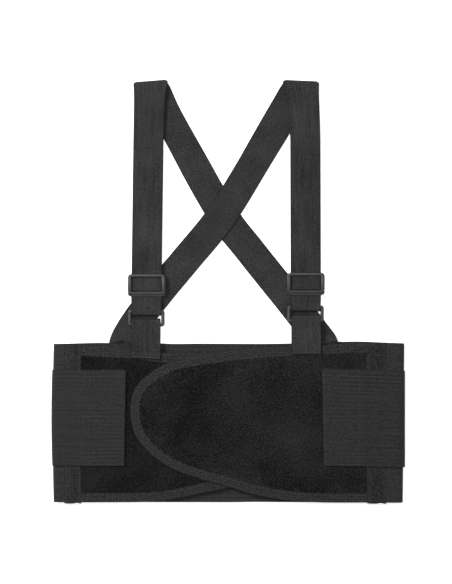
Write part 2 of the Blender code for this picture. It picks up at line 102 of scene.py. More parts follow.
CREASES = (
    # across a rear strap where it leaves the belt: height, place below the origin, slant and half width
    (3.4 * MM, 0.0652, -0.10, 1.6 * MM),
    (2.6 * MM, 0.0590, 0.22, 1.4 * MM),
)
HARNESS_HINGE = -66 * MM  # along Y
CHEEK_INSIDE = 19.9 * MM  # from an adjuster's middle, just outside the strap


# ---------------- numbers on arrays

def ease(value, low, high):
    """0 at low, 1 at high, with an even start and end."""
    t = np.clip((value - low) / (high - low), 0, 1)
    return t * t * (3 - 2 * t)


def unit(vectors):
    return vectors / np.maximum(np.linalg.norm(vectors, axis=-1, keepdims=True), 1e-12)


def smooth_path(points, steps):
    """A Catmull-Rom curve through the points."""
    p = np.array(points, float)
    ends = np.vstack([2 * p[0] - p[1], p, 2 * p[-1] - p[-2]])
    path = []
    for a, b, c, d in zip(ends, ends[1:], ends[2:], ends[3:]):
        for t in np.arange(steps) / steps:
            path.append(0.5 * (2 * b + (c - a) * t + (2 * a - 5 * b + 4 * c - d) * t * t
                               + (3 * b - a - 3 * c + d) * t ** 3))
    return np.array(path + [p[-1]])


def length_run(path):
    """The length that a path has run at each of its points."""
    return np.concatenate([[0], np.cumsum(np.linalg.norm(np.diff(path, axis=0), axis=1))])


def resample(path, spacing, *others):
    """The path at an even spacing, with values along it carried over, and the length run at each point."""
    path = np.asarray(path, float)
    run = length_run(path)
    count = max(int(round(run[-1] / spacing)), 1) + 1
    even = np.linspace(0, run[-1], count)

    def at(values):
        values = np.asarray(values, float)
        return np.stack([np.interp(even, run, values[:, k]) for k in range(values.shape[1])], 1)

    return (at(path), *[at(v) for v in others], even)


def arc(centre, radius, start, stop, steps):
    """Points of an arc in a plane, its angles in degrees."""
    angle = np.radians(np.linspace(start, stop, steps + 1))
    return np.stack([centre[0] + radius * np.cos(angle), centre[1] + radius * np.sin(angle)], 1)


def inward(path):
    """Unit vectors to the left of a flat path's direction."""
    along = unit(np.gradient(path, axis=0))
    return np.stack([-along[:, 1], along[:, 0]], 1)


def noise(x, y, size, seed):
    """Smooth value noise from -1 to 1, with cells of that size."""
    table = np.random.default_rng(seed).uniform(-1, 1, (64, 64))
    gx, gy = x / size, y / size
    ix, iy = np.floor(gx).astype(int), np.floor(gy).astype(int)
    fx, fy = gx - ix, gy - iy
    fx, fy = fx * fx * (3 - 2 * fx), fy * fy * (3 - 2 * fy)
    low = table[ix % 64, iy % 64] * (1 - fx) + table[(ix + 1) % 64, iy % 64] * fx
    high = table[ix % 64, (iy + 1) % 64] * (1 - fx) + table[(ix + 1) % 64, (iy + 1) % 64] * fx
    return low * (1 - fy) + high * fy


def across(width, spacing, radius):
    """Places across a strip, from edge to edge, close together where its edges are rounded."""
    edge = radius * np.array([0, 0.06, 0.25, 0.6])
    inner = np.linspace(radius, width - radius, max(int(round((width - 2 * radius) / spacing)), 1) + 1)
    return np.concatenate([edge, inner, width - edge[::-1]])


def rounding(place, width, radius):
    """Share of the full thickness near a strip's rounded edges."""
    d = np.clip(np.minimum(place, width - place) / radius, 0, 1)
    return np.sqrt(np.clip(1 - (1 - d) ** 2, 0.02, 1))


# ---------------- meshes

def add_object(name, data):
    obj = bpy.data.objects.new(name, data)
    bpy.context.scene.collection.objects.link(obj)
    return obj


def mesh_object(name, points, quads, uv, material):
    """A smooth-shaded closed mesh with its faces out, and UVs in metres."""
    points, quads = np.asarray(points, float), np.asarray(quads, int)
    a, b, c, d = (points[quads[:, k]] for k in range(4))
    volume = np.einsum("ij,ij->i", a, np.cross(b, c)).sum() + np.einsum("ij,ij->i", a, np.cross(c, d)).sum()
    if volume < 0:
        quads = quads[:, ::-1]
    mesh = bpy.data.meshes.new(name)
    mesh.from_pydata(points.tolist(), [], quads.tolist())
    if uv is not None:
        layer = mesh.uv_layers.new(name="cloth")
        layer.data.foreach_set("uv", np.asarray(uv, float)[quads.ravel()].ravel())
    mesh.shade_smooth()
    mesh.materials.append(material)
    return add_object(name, mesh)


def ground(name, size, level):
    """A level square that reaches size from the origin."""
    mesh = bpy.data.meshes.new(name)
    corners = [(-size, -size, level), (size, -size, level), (size, size, level), (-size, size, level)]
    mesh.from_pydata(corners, [], [(0, 1, 2, 3)])
    return add_object(name, mesh)


def grid_faces(rows, columns):
    i = np.arange(rows * columns).reshape(rows, columns)
    return np.stack([i[:-1, :-1], i[1:, :-1], i[1:, 1:], i[:-1, 1:]], -1).reshape(-1, 4)


def grid_points(x, y, z):
    """Points of a sheet, from coordinates that vary along its rows, its columns or both."""
    return np.stack(np.broadcast_arrays(x, y, z), -1)


def shell(name, middle, half, uv, material, low=0.0, low_material=None):
    """A closed piece of cloth from a grid of middle points and its half thickness."""
    rows, columns = middle.shape[:2]
    normal = unit(np.cross(np.gradient(middle, axis=0), np.gradient(middle, axis=1)))
    upper = middle + normal * half[..., None]
    lower = middle - normal * (half + low)[..., None]
    faces = grid_faces(rows, columns)
    count = rows * columns
    i = np.arange(count).reshape(rows, columns)
    rim = np.concatenate([i[0, :-1], i[:-1, -1], i[-1, :0:-1], i[:0:-1, 0]])
    ahead = np.roll(rim, -1)
    side = np.stack([rim, ahead, ahead + count, rim + count], 1)
    quads = np.concatenate([faces, faces[:, ::-1] + count, side])
    points = np.concatenate([upper.reshape(-1, 3), lower.reshape(-1, 3)])
    obj = mesh_object(name, points, quads, np.tile(uv.reshape(-1, 2), (2, 1)), material)
    if low_material is not None:
        obj.data.materials.append(low_material)
        index = np.zeros(len(quads), int)
        index[len(faces):2 * len(faces)] = 1
        obj.data.polygons.foreach_set("material_index", index)
    return obj


def strip(name, middle, half, place, run, material, **sides):
    """A shell of straight cloth, from the places across it and the run along it."""
    half = np.broadcast_to(half, middle.shape[:2])
    return shell(name, middle, half, np.stack(np.meshgrid(place, run), -1), material, **sides)


def strap(name, path, laterals, width, thickness, spacing, extra=None, warp=None, low_material=None):
    """A webbing strap along a path in space, with lengthwise ribs on both faces."""
    path, laterals, run = resample(path, spacing, laterals)
    pitch, rib_height = width / 12, 0.10 * MM
    place = across(width, pitch / 5, thickness * 0.5)
    offset = place - width / 2
    middle = path[:, None, :] + laterals[:, None, :] * offset[None, :, None]
    half = thickness / 2 * rounding(place, width, thickness * 0.5)
    ribbed_part = rounding(place, width, 1 * MM) > 0.9
    relief = rib_height * (np.abs(np.cos(np.pi * place / pitch)) ** 0.7 - 1) * ribbed_part
    half = np.tile(half + relief * 0.5, (len(path), 1))
    if extra is not None:
        half = half + extra(run, offset)
    if warp is not None:
        middle = warp(middle, run, offset)
    return strip(name, middle, half, place, run, FRONT_WEBBING, low_material=low_material)


def threads(name, points, directions, normals, length, material, radius):
    """A row of stitches: each a short thread lying along its direction, half sunk in the cloth."""
    sides = np.cross(directions, normals)
    ends = np.array([-0.5, -0.34, 0.34, 0.5]) * length
    sink = np.array([-1.0, 0.15, 0.15, -1.0]) * radius
    rings = []
    for end, drop in zip(ends, sink):
        centre = points + directions * end + normals * drop
        for across_share, up_share in ((1, 0), (0, 1), (-1, 0), (0, -1)):
            rings.append(centre + sides * radius * across_share + normals * radius * up_share * 0.8)
    template = [[3, 2, 1, 0], [12, 13, 14, 15]]
    for k in (0, 4, 8):
        for m, n in ((0, 1), (1, 2), (2, 3), (3, 0)):
            template.append([k + m, k + n, k + 4 + n, k + 4 + m])
    quads = (np.array(template)[None] + 16 * np.arange(len(points))[:, None, None]).reshape(-1, 4)
    return mesh_object(name, np.stack(rings, 1).reshape(-1, 3), quads, None, material)


def sew(name, slot, lines, pitch=3.3 * MM, length=2.3 * MM, radius=THREAD, material=None, **carrier):
    """Even rows of stitches along lines, each given with 1 where it faces up or -1 where it faces down."""
    rows = []
    for line, facing in lines:
        spots = resample(line, pitch)[0]
        rows.append((spots, unit(np.gradient(spots, axis=0)), np.tile(UP * facing, (len(spots), 1))))
    points, directions, normals = (np.concatenate(part) for part in zip(*rows))
    obj = threads(name, points, directions, normals, length, material or THREADS, radius)
    place_piece(obj, slot, **carrier)


# ---------------- materials

class Signal:
    """A shader value that takes part in plain arithmetic."""

    def __init__(self, nodes, socket):
        self.nodes, self.socket = nodes, socket

    def __add__(self, other):
        return self.nodes.math("ADD", self, other)

    def __sub__(self, other):
        return self.nodes.math("SUBTRACT", self, other)

    def __rsub__(self, other):
        return self.nodes.math("SUBTRACT", other, self)

    def __mul__(self, other):
        return self.nodes.math("MULTIPLY", self, other)

    def __abs__(self):
        return self.nodes.math("ABSOLUTE", self, 0.0)

    def at_least(self, floor):
        return self.nodes.math("MAXIMUM", self, floor)


class Nodes:
    """A short way to build a material's node tree."""

    def __init__(self, name, colour, roughness, specular=0.2, sheen=0.0, sheen_roughness=0.5, metallic=0.0):
        self.material = bpy.data.materials.new(name)
        self.material.use_nodes = True
        self.tree = self.material.node_tree
        self.shader = self.tree.nodes["Principled BSDF"]
        values = {"Base Color": (*colour, 1), "Roughness": roughness, "Specular IOR Level": specular,
                  "Sheen Weight": sheen, "Sheen Roughness": sheen_roughness, "Metallic": metallic}
        for key, value in values.items():
            self.shader.inputs[key].default_value = value

    def add(self, kind, inputs, **settings):
        node = self.tree.nodes.new(kind)
        for key, value in settings.items():
            setattr(node, key, value)
        for key, value in inputs.items():
            if isinstance(value, Signal):
                self.tree.links.new(value.socket, node.inputs[key])
            else:
                node.inputs[key].default_value = value
        return node

    def take(self, node, *outputs):
        signals = [Signal(self, node.outputs[key]) for key in outputs]
        return signals if len(signals) > 1 else signals[0]

    def math(self, operation, a, b):
        return self.take(self.add("ShaderNodeMath", {0: a, 1: b}, operation=operation), 0)

    def wave(self, coordinate, pitch):
        """A wave from -1 to 1 with that pitch in metres."""
        return self.math("SINE", coordinate * (2 * math.pi / pitch), 0.0)

    def where(self):
        return self.take(self.add("ShaderNodeTexCoord", {}), "Object")

    def split(self, vector):
        return self.take(self.add("ShaderNodeSeparateXYZ", {0: vector}), 0, 1)

    def cloth_uv(self):
        return self.split(self.take(self.add("ShaderNodeUVMap", {}, uv_map="cloth"), 0))

    def noise(self, scale, detail=3.0, roughness=0.6):
        inputs = {"Vector": self.where(), "Scale": scale, "Detail": detail, "Roughness": roughness}
        return self.take(self.add("ShaderNodeTexNoise", inputs), "Fac")

    def streaks(self, across, along, fine, coarse):
        """Streaks from -0.5 to 0.5 that run along one cloth direction."""
        vector = self.take(self.add("ShaderNodeCombineXYZ", {0: across, 1: along * (coarse / fine)}), 0)
        inputs = {"Vector": vector, "Scale": float(fine), "Detail": 2.0}
        return self.take(self.add("ShaderNodeTexNoise", inputs), "Fac") - 0.5

    def feed(self, node, output, shader_input):
        self.tree.links.new(node.outputs[output], self.shader.inputs[shader_input])

    def colour(self, factor, low, high, span=(0.3, 0.7)):
        """Base colour between two greys, by a factor."""
        ramp = self.add("ShaderNodeValToRGB", {"Fac": factor})
        for element, position, shade in zip(ramp.color_ramp.elements, span, (low, high)):
            element.position = position
            element.color = (*grey(shade), 1)
        self.feed(ramp, "Color", "Base Color")

    def bump(self, height, distance, strength=1.0):
        node = self.add("ShaderNodeBump", {"Height": height, "Distance": distance, "Strength": strength})
        self.feed(node, "Normal", "Normal")

    def roughness(self, factor, low, high):
        node = self.add("ShaderNodeMapRange", {"Value": factor, "To Min": low, "To Max": high})
        self.feed(node, 0, "Roughness")


def grey(value):
    """A near-neutral shade, very slightly blue."""
    return value, value, value * 1.04


def webbing_material(name, shade, crosswise=False):
    """Narrow elastic webbing: uneven lengthwise ribs on one face, fine crosswise ones on the other, and
    painted shade along both edges.
    """
    m = Nodes(name, grey(shade), 0.8, specular=0.12, sheen=0.05)
    u, v = m.cloth_uv()
    weave = m.wave(v, 1.3 * MM) * m.wave(u, 38 * MM / 24)
    if crosswise:
        ribs = m.wave(v, 2.0 * MM) * 0.5 + m.streaks(v, u, 500, 40) * 0.8
    else:
        ribs = m.streaks(u, v, 480, 16)
    grain = m.noise(620, 3.0, 0.7) - 0.5
    cloud = (m.noise(24, 1.0) - 0.5) * 0.40
    # painted shade: the colour darkens steeply near each edge, where the strap's rounded edge falls in shadow
    edge_shade = (abs(u - STRAP_WIDTH / 2) - 17.5 * MM).at_least(0.0)
    mix = ribs * (0.20 if crosswise else 0.55) + grain * 1.25 + weave * 0.05 + cloud + 0.5
    m.colour(mix - edge_shade * 140.0, shade * 0.48, shade * 1.62)
    m.bump(weave * 0.3 + ribs * 0.8 + grain, 0.3 * MM, 0.6)
    return m.material


def elastic_material(name, shade, pitch):
    """Wide knitted elastic: rows of fine loops along the belt, fading in and out."""
    m = Nodes(name, grey(shade), 0.85, specular=0.10, sheen=0.05)
    u, v = m.cloth_uv()
    rows = m.wave(u, pitch)
    knit = rows + rows * m.wave(v, 1.5 * MM) * 0.5
    grain = m.noise(620, 3.0, 0.7) - 0.5
    patchy = ((m.noise(16, 1.0) - 0.42) * 5.0).at_least(0.15)
    mix = knit * patchy * 0.06 + m.streaks(u, v, 420, 12) * 0.34 + grain * 1.15 + 0.5
    m.colour(mix, shade * 0.50, shade * 1.56)
    m.bump(knit * 0.5 + grain, 0.3 * MM, 0.6)
    return m.material


def loop_material(name, depth):
    """Brushed loop fabric: near black, with tiny catching loops."""
    m = Nodes(name, grey(0.010), 0.95, specular=0.05, sheen=0.06, sheen_roughness=0.6)
    cloud = (m.noise(14, 2.0) - 0.5) * 0.35
    fleck = m.take(m.add("ShaderNodeTexVoronoi", {"Vector": m.where(), "Scale": 330.0}), "Distance")
    mix = m.noise(560, 3.0, 0.75) + ((0.26 - fleck) * 1.3).at_least(0.0) + cloud
    # depth scales both greys; the under flap's lower value is painted shade
    m.colour(mix, 0.0008 * depth, 0.0330 * depth, (0.40, 0.78))
    m.bump(mix, 0.6 * MM, 0.9)
    return m.material


def binding_material(name, depth=1.0):
    """Woven edge tape with a fine diagonal twill."""
    m = Nodes(name, grey(0.022), 0.8, specular=0.12, sheen=0.05)
    x, y = m.split(m.where())
    twill = m.wave(x + y, 1.9 * MM)
    grain = m.noise(520, 3.0, 0.75) - 0.5
    m.colour(twill * 0.07 + grain * 1.7 + 0.49, 0.0050 * depth, 0.0340 * depth)
    m.bump(twill * 0.3 + grain, 0.3 * MM, 0.7)
    return m.material


def thread_material(name, shade):
    m = Nodes(name, grey(shade), 0.6, specular=0.3, sheen=0.1)
    m.bump(m.noise(4000, 1.0), 0.05 * MM, 0.5)
    return m.material


def hook_material():
    """Moulded hook tape."""
    m = Nodes("hook_look", grey(0.012), 0.5, specular=0.4)
    m.colour(m.noise(700, 3.0), 0.008, 0.022)
    m.bump(m.noise(1500, 2.0), 0.2 * MM, 0.8)
    return m.material


def plastic_material():
    """Satin moulded black plastic, faintly grained and mottled."""
    m = Nodes("plastic_look", grey(0.012), 0.45, specular=0.5)
    m.roughness(m.noise(350, 4.0), 0.38, 0.54)
    m.colour(m.noise(90, 3.0), 0.009, 0.015)
    m.bump(m.noise(2600, 2.0), 0.04 * MM, 0.35)
    return m.material


def steel_material():
    m = Nodes("stay_look", (0.55, 0.56, 0.58), 0.3, specular=0.5, metallic=1.0)
    m.roughness(m.noise(500, 3.0), 0.22, 0.42)
    return m.material


FRONT_WEBBING = webbing_material("webbing_look", 0.0218)
BACK_WEBBING = webbing_material("webbing_back_look", 0.0230, crosswise=True)
# a much darker copy of the front webbing: painted shadow for the folds round the rings' bars
FOLD_SHADOW_WEBBING = webbing_material("webbing_fold_shadow_look", 0.0055)
BELT_ELASTIC = elastic_material("belt_elastic_look", 0.0220, 6.4 * MM)
PULL_ELASTIC = elastic_material("pull_elastic_look", 0.0200, 5.06 * MM)
LOOP = {
    "over": loop_material("loop_fabric_look", 0.90),
    # the under flap's loop fabric is painted darker than the over flap's: painted shade
    "under": loop_material("shaded_loop_fabric_look", 0.66),
}
BINDING = binding_material("binding_look")
# a darker copy of the binding: painted shade on the seam tapes' flat parts
SHADED_FLAT_BINDING = binding_material("flat_binding_shade_look", 0.80)
THREADS = thread_material("thread_look", 0.030)
HEM_THREADS = thread_material("hem_thread_look", 0.070)
HOOK = hook_material()
PLASTIC = plastic_material()
STEEL = steel_material()


def mid_height(node):
    low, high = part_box(node)
    return (low.z + high.z) / 2


def place_piece(obj, slot, nodes=(), body=None, blend=None):
    """Ride on a body, or stay fixed where it lies when a blend is given, and stand for CAD nodes. The slot is
    not used.
    """
    if blend is not None:
        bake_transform(obj)
    else:
        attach(obj, body)
    if nodes:
        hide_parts(*nodes)
    return obj


# ---------------- the cloth's ease

def simulate_ease():
    """A sheet the size of the front, a little too long between its seams, settled by cloth simulation."""
    columns, rows = 48, 24
    highest, steps = 1.5 * MM, 30
    x = np.linspace(-0.19, 0.18, columns)
    y = np.linspace(-0.27, -0.066, rows)
    gx, gy = np.meshgrid(x, y)
    start = 0.4 * MM * noise(gx, gy, 0.045, 5)
    points = grid_points(gx, gy, start).reshape(-1, 3)
    mesh = bpy.data.meshes.new("ease_sheet")
    mesh.from_pydata(points.tolist(), [], grid_faces(rows, columns).tolist())
    sheet = add_object("ease_sheet", mesh)
    table = ground("ease_floor", 0.4, -1.0 * MM)
    table.modifiers.new("collision", "COLLISION")
    table.collision.thickness_outer = 0.3 * MM
    pins = sheet.vertex_groups.new(name="pins")
    edge = (gx < x[1] - 1e-6) | (gx > x[-2] + 1e-6)
    pins.add(np.flatnonzero(edge.ravel()).tolist(), 1.0, "REPLACE")
    cloth = sheet.modifiers.new("cloth", "CLOTH")
    cloth.settings.vertex_group_mass = "pins"
    cloth.settings.quality = 6
    cloth.settings.mass = 0.2
    cloth.settings.shrink_min = -0.006
    cloth.settings.bending_stiffness = 2.0
    cloth.settings.air_damping = 4.0
    cloth.settings.effector_weights.gravity = 0.25
    cloth.collision_settings.distance_min = 0.5 * MM
    scene = bpy.context.scene
    for step in range(steps):
        scene.frame_set(step + 1)
    settled = sheet.evaluated_get(bpy.context.evaluated_depsgraph_get())
    height = np.array([v.co.z for v in settled.data.vertices]).reshape(rows, columns)
    scene.frame_set(1)
    for obj in (sheet, table):
        bpy.data.objects.remove(obj, do_unlink=True)
    height -= height.min()
    return x, y, height * min(1.0, highest / max(height.max(), 1e-6))


EASE_X, EASE_Y, EASE_HEIGHT = simulate_ease()


def ease_height(x, y):
    """Height that the eased cloth adds at a place on the front."""
    fx = np.clip(np.interp(x, EASE_X, np.arange(len(EASE_X))), 0, len(EASE_X) - 1.001)
    fy = np.clip(np.interp(y, EASE_Y, np.arange(len(EASE_Y))), 0, len(EASE_Y) - 1.001)
    i, j = fx.astype(int), fy.astype(int)
    u, v = fx - i, fy - j
    h = EASE_HEIGHT
    return (h[j, i] * (1 - u) + h[j, i + 1] * u) * (1 - v) + (h[j + 1, i] * (1 - u) + h[j + 1, i + 1] * u) * v


# ---------------- belt

def top_rise(x):
    """How far the worn top edge of the belt stands above its straight line."""
    rise, breadth = 0.9 * MM, 55 * MM
    for crest, height in ((-0.150, 1.6 * MM), (0.150, 2.9 * MM)):
        rise = rise + height * np.exp(-((x - crest) / breadth) ** 2)
    return rise


def belt_elastic():
    """The elastic of the back and both sides, one band folded round to the front seams."""
    low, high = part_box("back_panel")
    back_z = mid_height("back_panel")
    halves = []
    for side, sign in SIDES.items():
        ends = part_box(f"{side}_side_elastic")
        inner, outer = sorted(abs(end.x) for end in ends)
        front_z = ends[1].z - ELASTIC / 2
        radius = (front_z - back_z) / 2
        turn = arc((outer - ELASTIC / 2 - radius, back_z + radius), radius, -90, 90, 24)
        halves.append(np.vstack([turn, [(inner + 3 * MM, front_z)]]) * (sign, 1))
    path, run = resample(np.vstack([halves[0][::-1], halves[1]]), 2.2 * MM)
    width, edge_radius = high.y - low.y, 0.8 * MM
    place = across(width, 2.6 * MM, edge_radius)
    middle = grid_points(path[:, :1], low.y + place, path[:, 1:])
    share = place / width
    wander = 0.45 * MM * noise(middle[..., 0], middle[..., 1], 0.035, 3)
    middle[..., 1] += wander * (np.abs(share - 0.5) * 2) ** 8 + top_rise(path[:, :1]) * share ** 6
    up = 2 * share - 1
    bulge = np.where(middle[..., 0] < 0, -1.3 * MM * (1 - up ** 2), 1.0 * MM * up)
    middle[..., 0] += bulge * ease(np.abs(middle[..., 0]), 0.205, 0.2218)
    half = ELASTIC / 2 * rounding(place, width, edge_radius)
    obj = strip("belt_elastic", middle, half, place, run, BELT_ELASTIC)
    place_piece(obj, "elastic", ("back_panel", "left_side_elastic", "right_side_elastic"), body="belt")


SEAM_TAPES = {
    # x of both edges, and then distances from the left one: seams, ridge (from, to, height) and flat parts,
    # which get a darker copy of the tape as painted shade
    "left": {
        "x": (-0.2083, -0.1868), "seams": (10.6 * MM, 19.4 * MM),
        "ridge": (1.6 * MM, 9.4 * MM, 1.1 * MM), "flat": ((0, 1.2 * MM), (10.2 * MM, 18.0 * MM)),
    },
    "right": {
        "x": (0.1748, 0.1990), "seams": (1.6 * MM, 21.8 * MM),
        "ridge": (3.4 * MM, 5.6 * MM, 0.7 * MM), "flat": ((0.6 * MM, 3.0 * MM), (6.2 * MM, 22.5 * MM)),
    },
}


def seam_tape(side):
    """The tape sewn over the seam between flap and side elastic, gathered into a soft ridge."""
    low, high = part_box(f"{side}_seam_tape")
    left, right = SEAM_TAPES[side]["x"]
    width, z = right - left, (low.z + high.z) / 2
    run = np.linspace(low.y, high.y + 0.6 * MM, 130)[:, None]
    place = across(width, 0.8 * MM, TAPE / 2)
    x = left + place
    drift = 0.4 * MM * noise(run, 0 * run, 0.03, 7)
    frayed = 0.7 * MM * noise(x, 0 * x, 0.006, 8) * (run < low.y + 4 * MM)
    start, stop, height = SEAM_TAPES[side]["ridge"]
    ridge = height * ease(place, start - 1.2 * MM, start + 0.6 * MM)
    ridge *= 1 - ease(place, stop - 0.6 * MM, stop + 1.0 * MM)
    uneven = 0.8 + 0.5 * noise(run, place, 0.02, 10)
    middle = grid_points(x + drift, run + frayed, z + ridge * uneven + 0.2 * MM * noise(run, x, 0.010, 9))
    half = TAPE / 2 * rounding(place, width, TAPE / 2)
    for seam in SEAM_TAPES[side]["seams"]:
        half = half - 0.10 * MM * np.exp(-((place - seam) / (0.6 * MM)) ** 2)
    obj = strip(f"{side}_seam_tape_cloth", middle, half, place, run, BINDING)
    # the flat parts beside the ridge get a darker copy of the tape: painted shade
    obj.data.materials.append(SHADED_FLAT_BINDING)
    for face in obj.data.polygons:
        offset = face.center.x - left
        face.material_index = int(any(a < offset < b for a, b in SEAM_TAPES[side]["flat"]))
    place_piece(obj, "binding", (f"{side}_seam_tape",), body="belt")
    ends = (low.y + 1 * MM, high.y - 1 * MM)
    lines = [([(left + seam, y, z + TAPE / 2) for y in ends], 1) for seam in SEAM_TAPES[side]["seams"]]
    sew(f"{side}_seam_tape_stitches", "binding", lines, body="belt")


def flap_outline(which):
    """The flap's edge as a closely spaced path, its inside on the left."""
    edge = np.array(UNDER_FLAP_EDGE[::-1] if which == "under" else OVER_FLAP_EDGE)
    under_tape = 2.5 * MM
    edge[0, 0] = edge[-1, 0] = edge[0, 0] + (-under_tape if which == "under" else under_tape)
    return resample(smooth_path(edge, 8), 2.5 * MM)[0]


def inside(points, outline):
    """Which points lie inside a closed outline."""
    x, y = points[:, 0:1], points[:, 1:2]
    a, b = outline, np.roll(outline, -1, axis=0)
    crosses = (a[:, 1] > y) != (b[:, 1] > y)
    with np.errstate(divide="ignore", invalid="ignore"):
        at = (b[:, 0] - a[:, 0]) * (y - a[:, 1]) / (b[:, 1] - a[:, 1]) + a[:, 0]
    return (np.sum(crosses & (x < at), axis=1) % 2) == 1


def nearest(points, path):
    """Nearest places on an open path, and the distances to it."""
    a, b = path[:-1], path[1:]
    d = b - a
    t = np.clip(np.einsum("nij,ij->ni", points[:, None] - a, d) / np.maximum((d * d).sum(1), 1e-12), 0, 1)
    spots = a + d * t[..., None]
    gap = np.linalg.norm(points[:, None] - spots, axis=2)
    best = gap.argmin(1)
    rows = np.arange(len(points))
    return spots[rows, best], gap[rows, best]


def flap_panel(which, z_range):
    """The loop fabric panel, its rim tucked inside the binding."""
    tuck, spacing = 4.5 * MM, 2.0 * MM
    edge = flap_outline(which)
    rim = edge + inward(edge) * tuck
    rim[0, 0], rim[-1, 0] = edge[0, 0], edge[-1, 0]
    x = np.arange(rim[:, 0].min() + 0.3 * MM, rim[:, 0].max(), spacing)
    y = np.arange(rim[:, 1].min() + 0.3 * MM, rim[:, 1].max(), spacing)
    gx, gy = np.meshgrid(x, y)
    flat = np.stack([gx.ravel(), gy.ravel()], 1)
    keep = inside(flat, rim)
    cells = grid_faces(len(y), len(x))
    cells = cells[keep[cells].all(1)]
    used = np.unique(cells)
    index = np.full(len(flat), -1)
    index[used] = np.arange(len(used))
    cells, flat = index[cells], flat[used]
    edges = np.concatenate([cells[:, [k, (k + 1) % 4]] for k in range(4)])
    _, first, counts = np.unique(np.sort(edges, 1), axis=0, return_index=True, return_counts=True)
    border = edges[first[counts == 1]]
    on_border = np.unique(border)
    spots, _ = nearest(flat[on_border], np.vstack([rim, rim[:1]]))
    flat[on_border] = spots
    _, depth = nearest(flat, rim)
    low, high = z_range
    middle_z, full = (low + high) / 2, (high - low) / 2
    half = full * (0.50 + 0.45 * ease(depth, 3 * MM, 11 * MM)) + 0.25 * MM * ease(depth, 10 * MM, 45 * MM)
    rng = np.random.default_rng(11)
    pile = 0.16 * MM * rng.uniform(-1, 1, len(flat)) * ease(depth, 2 * MM, 6 * MM)
    lift = ease_height(flat[:, 0], flat[:, 1])
    top = np.column_stack([flat, middle_z + lift + half + pile])
    low_side = np.column_stack([flat, middle_z + lift - half])
    count = len(flat)
    side = np.column_stack([border, border[:, ::-1] + count])
    quads = np.concatenate([cells, cells[:, ::-1] + count, side])
    points, uv = np.concatenate([top, low_side]), np.tile(flat, (2, 1))
    return mesh_object(f"{which}_flap_cloth", points, quads, uv, LOOP[which])


def flap_binding(which, z_range, nodes, **carrier):
    """Tape folded over the flap's edge, with rows of stitches on both faces."""
    edge, run = resample(flap_outline(which), 1.6 * MM)
    into = inward(edge)
    low, high = z_range[0] + TAPE / 2, z_range[1] - TAPE / 2
    radius, centre = (high - low) / 2, (low + high) / 2
    flat_part = np.linspace(BINDING_WIDTH, radius, 21)[:-1]
    section = np.vstack([np.column_stack([flat_part, np.full(20, high)]),
                         arc((radius, centre), radius, 90, 270, 8),
                         np.column_stack([flat_part[::-1], np.full(20, low)])])
    inset, level = section.T
    place = length_run(section)
    spots = edge[:, None, :] + into[:, None, :] * section[None, :, :1]
    spots[0, :, 0], spots[-1, :, 0] = edge[0, 0], edge[-1, 0]
    pucker = 0.10 * MM * np.sin(2 * np.pi * run / (6.6 * MM)) + 0.12 * MM * noise(run, 0 * run, 0.02, 21)
    lift = ease_height(spots[..., 0], spots[..., 1]) + pucker[:, None] * (level > centre)
    half = np.full(len(place), TAPE / 2)
    half[[0, -1]] = TAPE / 8
    for depth in STITCH_DEPTHS:
        half = half - 0.16 * MM * np.exp(-((inset - depth) / (0.5 * MM)) ** 2)
    cloth = strip(f"{which}_flap_edge", np.dstack([spots, level + lift]), half, place, run, BINDING)
    place_piece(cloth, "binding", nodes, **carrier)
    lines = []
    for facing, z in ((1, z_range[1]), (-1, z_range[0])):
        for depth in STITCH_DEPTHS:
            line = edge[2:-2] + into[2:-2] * depth
            lines.append((np.column_stack([line, z + ease_height(line[:, 0], line[:, 1])]), facing))
    sew(f"{which}_flap_edge_stitches", "binding", lines, 4.0 * MM, 2.7 * MM, 0.20 * MM, **carrier)


def flap(which, shown, nodes, binding_nodes, **carrier):
    """A front flap, as thick as the node it is shown by: its loop fabric panel and its binding."""
    low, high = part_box(shown)
    z_range = (low.z, high.z)
    panel = flap_panel(which, z_range)
    place_piece(panel, "loop_fabric", nodes, **carrier)
    flap_binding(which, z_range, binding_nodes, **carrier)


def flaps():
    """Both front flaps."""
    flap("under", "under_flap", ("under_flap",), ("under_flap_binding",), body="belt")
    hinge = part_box("over_flap_tip")[1].x
    flap("over", "over_flap_tip", ("over_flap_base", "over_flap_tip"),
         ("over_flap_binding_top", "over_flap_binding_bottom", "over_flap_binding_tip"),
         blend=("belt", "closure_tip", (hinge, 0, 0), (hinge - 18 * MM, 0, 0)))


def hook_patch(name, node, body):
    """Moulded hook tape: close rows of small stubs on its lower face."""
    low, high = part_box(node)
    size_x, size_y = high.x - low.x, high.y - low.y
    stub, rim = 1.0 * MM, 0.35 * MM
    px, py = across(size_x, stub, rim), across(size_y, stub, rim)
    gx, gy = np.meshgrid(px, py, indexing="ij")
    corner = min(size_x, size_y) * (0.38 if body == "closure_tip" else 0.06)
    cx, cy = gx - size_x / 2, gy - size_y / 2
    past = np.clip(np.abs(cy) - (size_y / 2 - corner), 0, None)
    reach = size_x / 2 - corner + np.sqrt(np.clip(corner ** 2 - past ** 2, 0, None))
    centre = (low + high) / 2
    x, y = centre.x + cx / (size_x / 2) * reach, centre.y + cy
    edge = np.minimum.outer(rounding(px, size_x, rim), rounding(py, size_y, rim))
    half = (high.z - low.z) / 2 * edge * 0.8
    stubs = 0.14 * MM * (np.sin(gx * np.pi / stub) * np.sin(gy * np.pi / stub) > 0) * (edge > 0.9)
    middle = grid_points(x, y, centre.z + ease_height(x, y))
    obj = shell(name, middle, half, np.dstack([gx, gy]), HOOK, low=stubs)
    place_piece(obj, "hook_tape", (node,), body=body)


